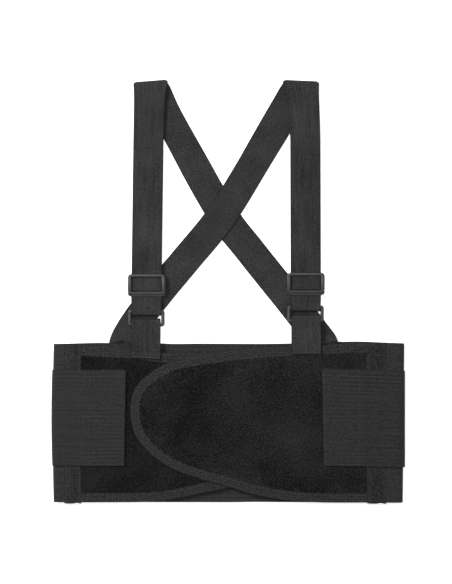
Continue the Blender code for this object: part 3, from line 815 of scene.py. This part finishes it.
def back_tape(name, node, rows, height, seams, margin):
    """A tape sewn to the outside of the back along its seams, at a height given for each x and y."""
    low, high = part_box(node)
    width = high.x - low.x
    run = np.linspace(low.y, high.y, rows)[:, None]
    place = across(width, 1.0 * MM, TAPE / 2)
    middle = grid_points(low.x + place, run, height(low.x + place, run))
    obj = strip(name, middle, TAPE / 2 * rounding(place, width, TAPE / 2), place, run, BINDING)
    place_piece(obj, "binding", (node,), body="belt")
    y = np.linspace(low.y + margin, high.y - margin, rows - 4)
    lines = []
    for seam in (*seams, *(width - seam for seam in seams)):
        level = np.interp(y, run[:, 0], middle[:, np.abs(place - seam).argmin(), 2]) - TAPE / 2
        lines.append((np.column_stack([0 * y + low.x + seam, y, level]), -1))
    sew(f"{name.removesuffix('_cloth')}_stitches", "binding", lines, body="belt")


def stay_pocket(number):
    """The pocket tape over a stay on the outside of the back, sewn down both sides."""
    low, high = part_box(f"stay_pocket_{number}")
    sewn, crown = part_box("back_panel")[0].z - TAPE / 2 - 0.05 * MM, low.z + TAPE / 2

    def height(x, y):
        rise = ease(x - low.x, 3.5 * MM, 7 * MM) * ease(high.x - x, 3.5 * MM, 7 * MM)
        return sewn + (crown - sewn) * rise * ease(y, low.y, low.y + 9 * MM)

    back_tape(f"stay_channel_{number}", f"stay_pocket_{number}", 100, height, (1.4 * MM, 3.0 * MM), 1.5 * MM)
    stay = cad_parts[f"stay_{number}"]
    stay.data.materials.clear()
    stay.data.materials.append(STEEL)


def rear_tape(side):
    """The tape on the back that sews a pull down, lying on the pull's end and on the panel beside it."""
    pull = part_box(f"{side}_pull_rear")
    inner, ramp = min(abs(end.x) for end in pull), 2.5 * MM
    flat, raised = (z - TAPE / 2 - 0.05 * MM for z in (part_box("back_panel")[0].z, pull[0].z))

    def height(x, y):
        over_pull = ease(np.abs(x), inner - ramp, inner)
        along = ease(y, pull[0].y - ramp, pull[0].y) * (1 - ease(y, pull[1].y, pull[1].y + ramp))
        return flat + (raised - flat) * over_pull * along

    back_tape(f"{side}_rear_tape_cloth", f"{side}_rear_tape", 160, height, (2.0 * MM,), ramp)


# ---------------- side pulls

PULL_SKEW = {"left": 2.0 * MM, "right": -2.4 * MM}  # of the free end, from bottom to top
PULL_DRIFT = {
    # how far the top and bottom edges stand off level, at the fold and at the free end
    "left": ((0.0, 0.4 * MM), (0.0, 0.2 * MM)),
    "right": ((-0.8 * MM, 2.4 * MM), (-1.2 * MM, 0.6 * MM)),
}


def pull_band(name, side, path, y_range, front):
    """A band of ribbed elastic along a path in XZ, its ribs running with the path."""
    path, run = resample(path, 2.4 * MM)
    width = y_range[1] - y_range[0]
    pitch = width / PULL_RIBS
    place = across(width, pitch / 6, PULL / 2)
    height = place / width
    to_end = (run[-1] - run)[:, None]
    middle = grid_points(path[:, :1], y_range[0] + place, path[:, 1:])
    middle[..., 1] += 0.5 * MM * noise(path[:, :1], y_range[0], 0.03, 31)
    outer = ease(np.abs(middle[..., 0]), 0.206, 0.2230)
    middle[..., 0] -= (1.1 * MM if side == "left" else 0.0) * (1 - (2 * height - 1) ** 2) * outer
    (top_fold, top_end), (low_fold, low_end) = PULL_DRIFT[side]
    gone = ease(run, 6 * MM, run[-1])[:, None] if front else 0
    middle[..., 1] += height * (top_fold + (top_end - top_fold) * gone)
    middle[..., 1] += (1 - height) * (low_fold + (low_end - low_fold) * gone)
    ribs = 0.055 * MM * (np.abs(np.cos(np.pi * place / pitch)) ** 0.8 - 0.9)
    half = np.tile(PULL / 2 * rounding(place, width, PULL / 2) + ribs * 0.5, (len(path), 1))
    half[[0, -1]] *= 0.45
    if front:
        corner = np.clip(1 - to_end / (5 * MM), 0, 1) ** 2
        middle[..., 1] -= 1.4 * MM * corner * ease(height, 0.75, 1.0)
        middle[..., 0] += ease(run, run[-1] - 40 * MM, run[-1])[:, None] * PULL_SKEW[side] * (height - 0.5)
        middle[..., 2] += ease_height(middle[..., 0], middle[..., 1]) * ease(run, 6 * MM, 24 * MM)[:, None]
        middle[..., 2] += 0.125 * MM * (to_end < 5 * MM)
        for seam in PULL_SEAMS:
            half -= 0.12 * MM * np.exp(-((to_end - seam) / (0.8 * MM)) ** 2)
    return strip(name, middle, half, place, run, PULL_ELASTIC), middle, run


def side_pull(side, sign):
    """The pull's rear run and turn round the side, its free front, and the stitched box over its hooks."""
    rear_low, rear_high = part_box(f"{side}_pull_rear")
    front_low, front_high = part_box(f"{side}_pull_front")
    rear_z, front_z = mid_height(f"{side}_pull_rear"), mid_height(f"{side}_pull_front")
    outer = max(abs(end.x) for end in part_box(f"{side}_pull_wrap"))
    inner_rear = min(abs(rear_low.x), abs(rear_high.x))
    radius = (front_z - rear_z) / 2
    centre = (outer - PULL / 2 - radius, rear_z + radius)
    hinge, end = (front_low.x, front_high.x) if sign < 0 else (front_high.x, front_low.x)
    y_range = (front_low.y, front_high.y)

    rear = np.vstack([[(inner_rear, rear_z)], arc(centre, radius, -90, 0, 14)]) * (sign, 1)
    obj, _, _ = pull_band(f"{side}_pull_back_band", side, rear, y_range, front=False)
    place_piece(obj, "elastic", (f"{side}_pull_rear", f"{side}_pull_wrap"), body="belt")

    front = np.vstack([arc(centre, radius, 0, 90, 14) * (sign, 1), [(end, front_z)]])
    obj, middle, run = pull_band(f"{side}_pull_band", side, front, y_range, front=True)
    bend = ("belt", f"{side}_pull", (hinge, 0, 0), (hinge - sign * 16 * MM, 0, 0))
    place_piece(obj, "elastic", (f"{side}_pull_front",), blend=bend)

    surface = middle + UP * PULL / 2
    first, last = (int(middle.shape[1] * share) for share in (0.045, 0.955))
    near, far = (np.abs(run[-1] - run - seam).argmin() for seam in PULL_SEAMS)
    box = [surface[near, first:last + 1], surface[far, first:last + 1],
           surface[far:near + 1, first], surface[far:near + 1, last]]
    lines = [(line, 1) for line in box]
    sew(f"{side}_pull_stitches", "elastic", lines, radius=0.16 * MM, body=f"{side}_pull")
    hook_patch(f"{side}_pull_hooks", f"{side}_pull_hook", f"{side}_pull")


# ---------------- suspenders

def rear_height(points, side):
    """Height of a rear strap's middle: on the floor, over the crossing, and up into the belt."""
    low_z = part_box(f"{side}_shoulder_fold")[0].z + WEBBING / 2
    end_z = mid_height(f"{side}_rear_strap_end")
    reach = np.linalg.norm(points - CROSSING, axis=1) / (72 * MM)
    rise = 1.9 * MM if side == "right" else 0.0
    ramp = ease(-points[:, 1], 46 * MM, 64 * MM)
    return low_z + rise * (1 - ease(reach, 0.42, 1.0)) + (end_z - low_z) * ramp


def suspender_sideways(side, plan, from_top):
    """Crosswise directions along a rear strap: square to it, level in the belt, along the fold on top."""
    tilt = FOLD_TILT[side]
    fold = np.array([math.cos(tilt), math.sin(tilt), 0])
    along = unit(np.gradient(plan, axis=0))
    square = np.column_stack([along[:, 1], -along[:, 0], 0 * along[:, 0]])
    square *= np.sign(square @ LEVEL)[:, None]
    leaving = ease(from_top, 0, 45 * MM)[:, None]
    behind = 1 + SPREAD_BEHIND[side] * (1 - ease(from_top, 55 * MM, 130 * MM))[:, None]
    lateral = fold * FOLD_SPREAD[side] / (square @ fold)[:, None] * (1 - leaving) + square * behind * leaving
    bottom = ease(-plan[:, 1], 36 * MM, 50 * MM)[:, None]
    return lateral * (1 - bottom) + LEVEL / (square @ LEVEL)[:, None] * bottom


def upper_strap(side):
    """The strap from inside the belt, across the back, over the shoulder and down to the adjuster."""
    plan = smooth_path(REAR_PATH[side], 10)[::-1]
    lateral = suspender_sideways(side, plan, np.linalg.norm(plan - plan[-1], axis=1))
    rear = np.column_stack([plan, rear_height(plan, side)])
    rear_run = length_run(rear)[-1]

    low, top = front_ends(side) + (SIDE_SHIFT[side], 0)
    low[1] = crossbar(side)[0] - 9 * MM
    front_along = unit(low - top)
    straight = np.array([abs(front_along[1]), front_along[0] * -np.sign(front_along[1]), 0])
    ahead = np.array([-math.sin(FOLD_TILT[side]), math.cos(FOLD_TILT[side]), 0])
    front_z = mid_height(f"{side}_front_strap")
    radius = (front_z - rear[-1, 2]) / 2
    turn = arc((0, 0), radius, -90, 90, 14)
    roll = rear[-1] + UP * radius + ahead * turn[:, :1] + UP * turn[:, 1:]
    distance = np.concatenate([np.arange(1, 50) * 1.5 * MM, [np.linalg.norm(low - top)]])
    settle = np.exp(-distance / (15 * MM))[:, None]
    line = np.column_stack([top + front_along * distance[:, None], np.full(len(distance), front_z)])
    line[:, 2] += 1.6 * MM * np.exp(-distance / (18 * MM)) * ease(distance, 0, 5 * MM)
    line[:, 0] += (roll[-1, 0] - line[0, 0]) * np.exp(-distance / (32 * MM))
    path = np.vstack([rear[:-1], roll, line])
    at_fold = np.tile(lateral[-1], (len(roll), 1))
    sideways = np.vstack([lateral[:-1], at_fold, straight * (1 - settle) + lateral[-1] * settle])

    def soften(middle, run, offset):
        """Round the corners of the shoulder fold and crease the sewn end where it leaves the belt."""
        corner = np.clip((np.abs(offset) - 15.5 * MM) / (3.5 * MM), 0, 1) ** 2
        to_fold = np.linalg.norm(middle - roll[7], axis=2).min(axis=1)[:, None]
        above = (middle[:, len(offset) // 2, 1] > 0.25)[:, None]
        pull_in = 2.0 * MM * corner * np.exp(-(to_fold / (6 * MM)) ** 2) * above
        middle = middle - ahead * pull_in[..., None]
        x, y = middle[..., 0], middle[..., 1]
        crease = 0
        for height, down, slant, reach in CREASES:
            crease = crease + height * np.exp(-((y + down + slant * (np.abs(x) - 0.120)) / reach) ** 2)
        uneven = 0.7 + 0.6 * noise(x, y, 0.010, 41 if side == "left" else 43)
        middle[..., 2] += crease * uneven * (run < 60 * MM)[:, None]
        on_back = ease(run, 70 * MM, 100 * MM) * (1 - ease(run, rear_run - 60 * MM, rear_run))
        middle[..., 0] += 0.6 * MM * (noise(run, 0 * run, 0.055, 45) * on_back)[:, None]
        return middle

    obj = strap(f"{side}_suspender", path, sideways, STRAP_WIDTH, WEBBING, 1.6 * MM, warp=soften,
                low_material=BACK_WEBBING)
    bend = ("belt", "harness", (0, HARNESS_HINGE - 1 * MM, 0), (0, HARNESS_HINGE + 26 * MM, 0))
    place_piece(obj, "webbing", (f"{side}_rear_strap", f"{side}_rear_strap_end", f"{side}_shoulder_fold",
                                 f"{side}_front_strap"), blend=bend)


def paint_fold_shadow(obj, edge, reach):
    """Paint shadow on a fold round a ring's bar: a much darker copy of the webbing on the faces within reach
    of its outermost edge, where the fold lies in shade.
    """
    obj.data.materials.append(FOLD_SHADOW_WEBBING)
    index = len(obj.data.materials) - 1
    for face in obj.data.polygons:
        if abs(face.center.y - edge) < reach:
            face.material_index = index


def front_ends(side):
    """Lower and upper end of the front strap's middle, in plan."""
    points = np.array([v.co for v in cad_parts[f"{side}_front_strap"].data.vertices])[:, :2]
    y = points[:, 1]
    ends = (points[y < y.min() + 6 * MM], points[y > y.max() - 6 * MM])
    return np.array([(part.min(0) + part.max(0)) / 2 for part in ends])


def crossbar(side):
    """Middle and half width, along Y, of an adjuster's crossbar."""
    low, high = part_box(f"{side}_adjuster")
    return (low.y + 6.2 * MM + high.y - 3.4 * MM) / 2, 2.5 * MM


def loop_strap(side):
    """The strap's lower end: down to the ring, round its upper bar and back up behind."""
    loop_low, loop_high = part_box(f"{side}_ring_loop")
    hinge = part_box(f"{side}_front_strap")[0].y
    front_z, back_z = mid_height(f"{side}_front_strap"), mid_height(f"{side}_return_strap")
    top_z, low_z = loop_high.z - WEBBING / 2, loop_low.z + WEBBING / 2
    radius = (top_z - low_z) / 2
    turn_y = loop_low.y - 1.3 * MM + WEBBING / 2 + radius
    over_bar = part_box(f"{side}_ring")[1].y + 2 * MM
    profile = [(crossbar(side)[0] - 9 * MM, front_z), (hinge, front_z),
               (over_bar + 2 * MM, front_z * 0.6 + top_z * 0.4), (over_bar - 3 * MM, top_z),
               *(arc((0, 0), radius, 90, -90, 12) * (-1, 1) + (turn_y, low_z + radius)),
               (over_bar - 3 * MM, low_z), (hinge, back_z)]
    x = front_ends(side)[0][0] + SIDE_SHIFT[side]
    path = smooth_path([(x, *p) for p in profile], 4)
    narrow = 1 - (1 - LOOP_WIDTH / STRAP_WIDTH) * ease(hinge - path[:, 1], -4 * MM, 6 * MM)
    obj = strap(f"{side}_suspender_loop", path, LEVEL * narrow[:, None], STRAP_WIDTH, WEBBING, 1.5 * MM,
                low_material=BACK_WEBBING)
    # painted shadow on the loop's lowest edge, where it turns round the ring's upper bar
    paint_fold_shadow(obj, turn_y - radius - WEBBING / 2, 1.3 * MM)
    bend = ("harness", f"{side}_link", (x, hinge, 0), (x, hinge - 9 * MM, 0))
    place_piece(obj, "webbing", (f"{side}_ring_loop",), blend=bend)


def return_strap(side):
    """The strap's end, from below the adjuster up to the crossbar that it is sewn round."""
    slide_low, slide_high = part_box(f"{side}_adjuster")
    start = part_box(f"{side}_front_strap")[0].y
    middle, reach = crossbar(side)
    bar_half, thin = 0.65 * MM, 0.9 * MM
    bar_z = slide_low.z + bar_half
    radius = bar_half + 0.1 * MM + thin / 2
    profile = [(start, mid_height(f"{side}_return_strap")), (middle - reach - 3 * MM, bar_z - radius),
               *arc((middle + reach, bar_z), radius, -90, 90, 8), (middle - reach - 1 * MM, bar_z + radius)]
    x = (slide_low.x + slide_high.x) / 2 - (0.7 * MM if side == "left" else 0)
    path = np.array([(x, *p) for p in profile])
    lateral = np.tile(LEVEL, (len(path), 1))
    obj = strap(f"{side}_suspender_end", path, lateral, STRAP_WIDTH - 0.6 * MM, thin, 1.0 * MM)
    bend = ("harness", f"{side}_slide", (x, start + 1 * MM, 0), (x, middle - reach - 2 * MM, 0))
    place_piece(obj, "webbing", (f"{side}_return_strap",), blend=bend)


def tab(side):
    """The webbing tab: sewn hem on the flap, over the ring's lower bar and back."""
    end_low, end_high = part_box(f"{side}_tab_end")
    low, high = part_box(f"{side}_tab")
    upper, lower = end_high.z - WEBBING / 2, end_low.z + WEBBING / 2
    radius = 2.5 * MM
    turn_z = low.z + WEBBING / 2 + radius
    turn_y = high.y + 0.9 * MM - WEBBING / 2 - radius
    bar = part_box(f"{side}_ring")[0].y - 2.2 * MM
    hem, (first_seam, last_seam) = end_low.y, HEM_SEAMS[side]
    profile = [(hem, upper), (end_high.y - 4 * MM, upper), (bar + 4 * MM, turn_z + radius + 1.2 * MM),
               *(arc((0, 0), radius, 90, -90, 12) + (turn_y, turn_z)),
               (bar, turn_z - radius), (end_high.y - 2 * MM, lower), (hem + 1 * MM, lower)]
    x = (low.x + high.x) / 2 + SIDE_SHIFT[side]
    path = smooth_path([(x, *p) for p in profile], 4)
    on_flap = np.minimum(path[:, 1], HARNESS_HINGE)
    path[:, 2] += ease_height(path[:, 0], on_flap) * ease(-path[:, 1], 62 * MM, 70 * MM)

    def hem_fold(run, offset):
        """Thicken the folded hem, with a groove where it ends."""
        seam = last_seam + 0.8 * MM
        thick = 0.42 * MM * (1 - ease(run, seam - 0.7 * MM, seam))
        groove = 0.28 * MM * np.exp(-((run - seam - 0.5 * MM) / (0.7 * MM)) ** 2)
        return (thick - groove)[:, None] + 0 * offset

    def slant(middle, run, offset):
        """Tilt the sewn hem a little, and let its edge wander."""
        wander = HEM_TILT[side] * offset + 0.3 * MM * noise(offset, 0 * offset, 0.008, 51)
        middle[..., 1] += wander * np.exp(-run / (22 * MM))[:, None]
        return middle

    lateral = np.tile(LEVEL, (len(path), 1))
    obj = strap(f"{side}_tab_webbing", path, lateral, high.x - low.x, WEBBING, 1.2 * MM,
                extra=hem_fold, warp=slant)
    # painted shadow on the tab's top edge, where it turns round the ring's lower bar
    paint_fold_shadow(obj, turn_y + radius + WEBBING / 2, 1.5 * MM)
    bend = ("belt", "harness", (0, end_high.y - 2 * MM, 0), (0, end_high.y + 15 * MM, 0))
    place_piece(obj, "webbing", (f"{side}_tab", f"{side}_tab_end"), blend=bend)
    lines = []
    for seam in (first_seam, last_seam):
        px = np.linspace(low.x + 2 * MM, high.x - 2 * MM, 20) + SIDE_SHIFT[side]
        py = hem + seam + HEM_TILT[side] * (px - x)
        pz = upper + WEBBING / 2 + 0.45 * MM + ease_height(px, py)
        lines.append((np.column_stack([px, py, pz]), 1))
    sew(f"{side}_tab_stitches", "webbing", lines, 2.8 * MM, 2.1 * MM, 0.32 * MM, HEM_THREADS, body="belt")


# ---------------- plastic

def rounded_rectangle(half_x, half_y, radius):
    """Points round a rectangle with round corners, and the outward direction at each."""
    spots, outs = [], []
    for corner, (sx, sy) in enumerate([(1, 1), (-1, 1), (-1, -1), (1, -1)]):
        angle = np.radians(90 * corner + np.linspace(0, 90, 9))
        out = np.stack([np.cos(angle), np.sin(angle), 0 * angle], 1)
        spots.append(np.array([sx * (half_x - radius), sy * (half_y - radius), 0]) + out * radius)
        outs.append(out)
    return np.vstack(spots), np.vstack(outs)


def tube(spots, outs, breadth, height):
    """Sections of 16 points round a level path, squarish, with that half breadth and half height."""
    turn = np.radians(np.arange(16) * 22.5)
    wide, tall = (np.sign(wave) * np.abs(wave) ** 0.75 for wave in (np.cos(turn), np.sin(turn)))
    sideways = (breadth * outs)[:, None] * wide[:, None]
    return spots[:, None] + sideways + UP * (height * tall)[:, None]


def bridge(builder, first, second):
    """Faces between two closed rings of vertices."""
    for corners in zip(first, second, second[1:] + second[:1], first[1:] + first[:1]):
        builder.faces.new(corners)


def block(builder, *rings):
    """A closed solid between two rings of points."""
    first, second = ([builder.verts.new(point) for point in ring_points] for ring_points in rings)
    builder.faces.new(first)
    builder.faces.new(second[::-1])
    bridge(builder, first, second)


def beam(builder, profile, x_range):
    """A solid along X with that (y, z) profile."""
    block(builder, *([(x, y, z) for y, z in profile] for x in x_range))


def adjuster_rim(builder, half_x, half_y, lip, z):
    """The rounded rim: broad at the top, narrow at the bottom, arched at the sides."""
    side_bar, top_bar, ridge = half_x - CHEEK_INSIDE + 0.9 * MM, 4.3 * MM, 3.0 * MM
    low, high = -half_y + lip - ridge, half_y
    middle, reach = (low + high) / 2, (high - low) / 2
    spots, outs = rounded_rectangle(half_x - side_bar / 2, reach - ridge / 2, 3.2 * MM)
    breadth = np.where(outs[:, 1] > 0, top_bar / 2, ridge / 2)
    breadth = np.where(np.abs(outs[:, 0]) > 0.7, side_bar / 2, breadth)
    spots[:, 1] += middle - np.where(outs[:, 1] > 0.7, (top_bar - ridge) / 2, 0)
    closed = [np.vstack([values, values[:1]]) for values in (spots, outs, breadth[:, None])]
    spots, outs, breadth = (values[:-1] for values in resample(closed[0], 1.2 * MM, *closed[1:])[:3])
    at_side = ease(np.abs(spots[:, 0]), half_x - 6 * MM, half_x - side_bar / 2)
    spots[:, 2] = z + 0.7 * MM * at_side * (1 - 2 * ((spots[:, 1] - middle) / reach) ** 2)
    sections = tube(spots, outs, breadth, 1.1 * MM)
    rings = [[builder.verts.new(point) for point in section] for section in sections]
    for first, second in zip(rings, rings[1:] + rings[:1]):
        bridge(builder, first, second)


def adjuster(side):
    """The moulded three-bar slide: a rim on cheeks, a sloping lower lip and a crossbar, fused together."""
    low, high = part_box(f"{side}_adjuster")
    cx, cy = (low.x + high.x) / 2 + SIDE_SHIFT[side], (low.y + high.y) / 2
    half_x, half_y = (high.x - low.x) / 2 + 0.6 * MM, (high.y - low.y) / 2 + 0.3 * MM
    z0, z1 = low.z, high.z
    builder = bmesh.new()
    adjuster_rim(builder, half_x, half_y, 6.0 * MM, z1 - 0.85 * MM)

    cheek = [(-half_y + 1.5 * MM, z0 + 0.6 * MM), (-half_y + 1.1 * MM, z1 - 2.2 * MM),
             (-half_y + 4 * MM, z1 - 1.0 * MM), (half_y - 2.5 * MM, z1 - 1.0 * MM),
             (half_y - 1.6 * MM, z0 + 1.6 * MM), (half_y - 2.6 * MM, z0 + 0.4 * MM)]
    for x_range in ((-half_x + 0.5 * MM, -CHEEK_INSIDE), (CHEEK_INSIDE, half_x - 0.5 * MM)):
        beam(builder, cheek, x_range)

    lip_end = -half_y + 5 * MM
    corner, _ = rounded_rectangle(half_x, half_y, 5.2 * MM)
    outline = [(x, y) for x, y, _ in corner if y < lip_end] + [(half_x, lip_end), (-half_x, lip_end)]
    block(builder, [(x, y, z1 - 2.0 * MM) for x, y in outline],
          [(x, y, z1 - 1.1 * MM + 0.16 * (y + half_y)) for x, y in outline])

    middle, reach = crossbar(side)
    near, far, bottom, top = middle - cy - reach, middle - cy + reach, z0 + 0.1 * MM, z0 + 1.2 * MM
    into_cheek = CHEEK_INSIDE + 1.6 * MM
    beam(builder, [(near, bottom), (near, top), (far, top), (far, bottom)], (-into_cheek, into_cheek))

    bmesh.ops.recalc_face_normals(builder, faces=builder.faces)
    mesh = bpy.data.meshes.new(f"{side}_adjuster_body")
    builder.to_mesh(mesh)
    builder.free()
    obj = add_object(f"{side}_adjuster_body", mesh)
    obj.location = (cx, cy, 0)
    fuse = obj.modifiers.new("fuse", "REMESH")
    fuse.mode = "VOXEL"
    fuse.voxel_size = 0.30 * MM
    soften = obj.modifiers.new("soften", "SMOOTH")
    soften.factor = 0.5
    soften.iterations = 3
    thin_out = obj.modifiers.new("thin_out", "DECIMATE")
    thin_out.ratio = 0.35
    bake_modifiers(obj)
    obj.data.shade_smooth()
    obj.data.materials.clear()
    obj.data.materials.append(PLASTIC)
    place_piece(obj, "moulded_plastic", (f"{side}_adjuster",), body=f"{side}_slide")


def bake_modifiers(obj):
    """Replace an object's mesh by what its modifiers make of it."""
    bpy.context.view_layer.update()
    made = bpy.data.meshes.new_from_object(obj.evaluated_get(bpy.context.evaluated_depsgraph_get()))
    obj.modifiers.clear()
    obj.data = made


def ring(side):
    """The moulded rectangular ring, squarish in section."""
    low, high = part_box(f"{side}_ring")
    centre, half = (low + high) / 2, (high - low) / 2
    breadth = 2.2 * MM
    spots, outs = rounded_rectangle(half.x + 0.4 * MM - breadth, half.y - breadth, 1.6 * MM)
    points = np.array(centre) + (SIDE_SHIFT[side], 0, 0) + tube(spots, outs, breadth, half.z)
    i = np.arange(points.shape[0] * 16).reshape(-1, 16)
    ahead = np.roll(i, -1, 0)
    quads = np.stack([i, ahead, np.roll(ahead, -1, 1), np.roll(i, -1, 1)], -1).reshape(-1, 4)
    obj = mesh_object(f"{side}_ring_body", points.reshape(-1, 3), quads, None, PLASTIC)
    place_piece(obj, "moulded_plastic", (f"{side}_ring",), body=f"{side}_link")


# ---------------- stage

def stage():
    """Pale floor, soft studio light and the camera straight above."""
    floor = ground("floor", 4.0, -0.6 * MM)
    m = Nodes("floor_look", (0.92, 0.92, 0.92), 0.9, specular=0.0)
    m.shader.inputs["Emission Color"].default_value = (1, 1, 1, 1)
    m.shader.inputs["Emission Strength"].default_value = 0.6
    floor.data.materials.append(m.material)

    world = bpy.data.worlds.new("studio")
    world.use_nodes = True
    background = world.node_tree.nodes["Background"]
    background.inputs["Color"].default_value = (1, 1, 1, 1)
    background.inputs["Strength"].default_value = 0.34
    bpy.context.scene.world = world

    lamps = (
        # name, place, power in watts, breadth
        ("key", (-1.2, 0.7, 1.5), 38, 0.7),
        ("fill", (1.4, -0.6, 1.5), 5, 1.6),
        ("top", (-0.12, 0.25, 2.4), 18, 0.5),
    )
    for name, spot, power, breadth in lamps:
        data = bpy.data.lights.new(name, "AREA")
        data.energy = power
        data.size = breadth
        lamp = add_object(name, data)
        lamp.location = spot
        lamp.rotation_euler = (-Vector(spot)).to_track_quat("-Z", "Y").to_euler()

    view_height = 0.7402
    camera = bpy.data.cameras.new("camera")
    camera.lens = 180
    camera.sensor_width = 36
    eye = add_object("camera", camera)
    eye.location = (-3.2 * MM, -1.3 * MM, 8 * MM + view_height * camera.lens / camera.sensor_width)
    bpy.context.scene.camera = eye
    bpy.context.scene.view_settings.view_transform = "Standard"


stage()
belt_elastic()
flaps()
hook_patch("closure_hooks", "closure_hook_patch", "closure_tip")
for number in (1, 2, 3, 4):
    stay_pocket(number)
for side, sign in SIDES.items():
    seam_tape(side)
    rear_tape(side)
    side_pull(side, sign)
    upper_strap(side)
    loop_strap(side)
    return_strap(side)
    tab(side)
    adjuster(side)
    ring(side)
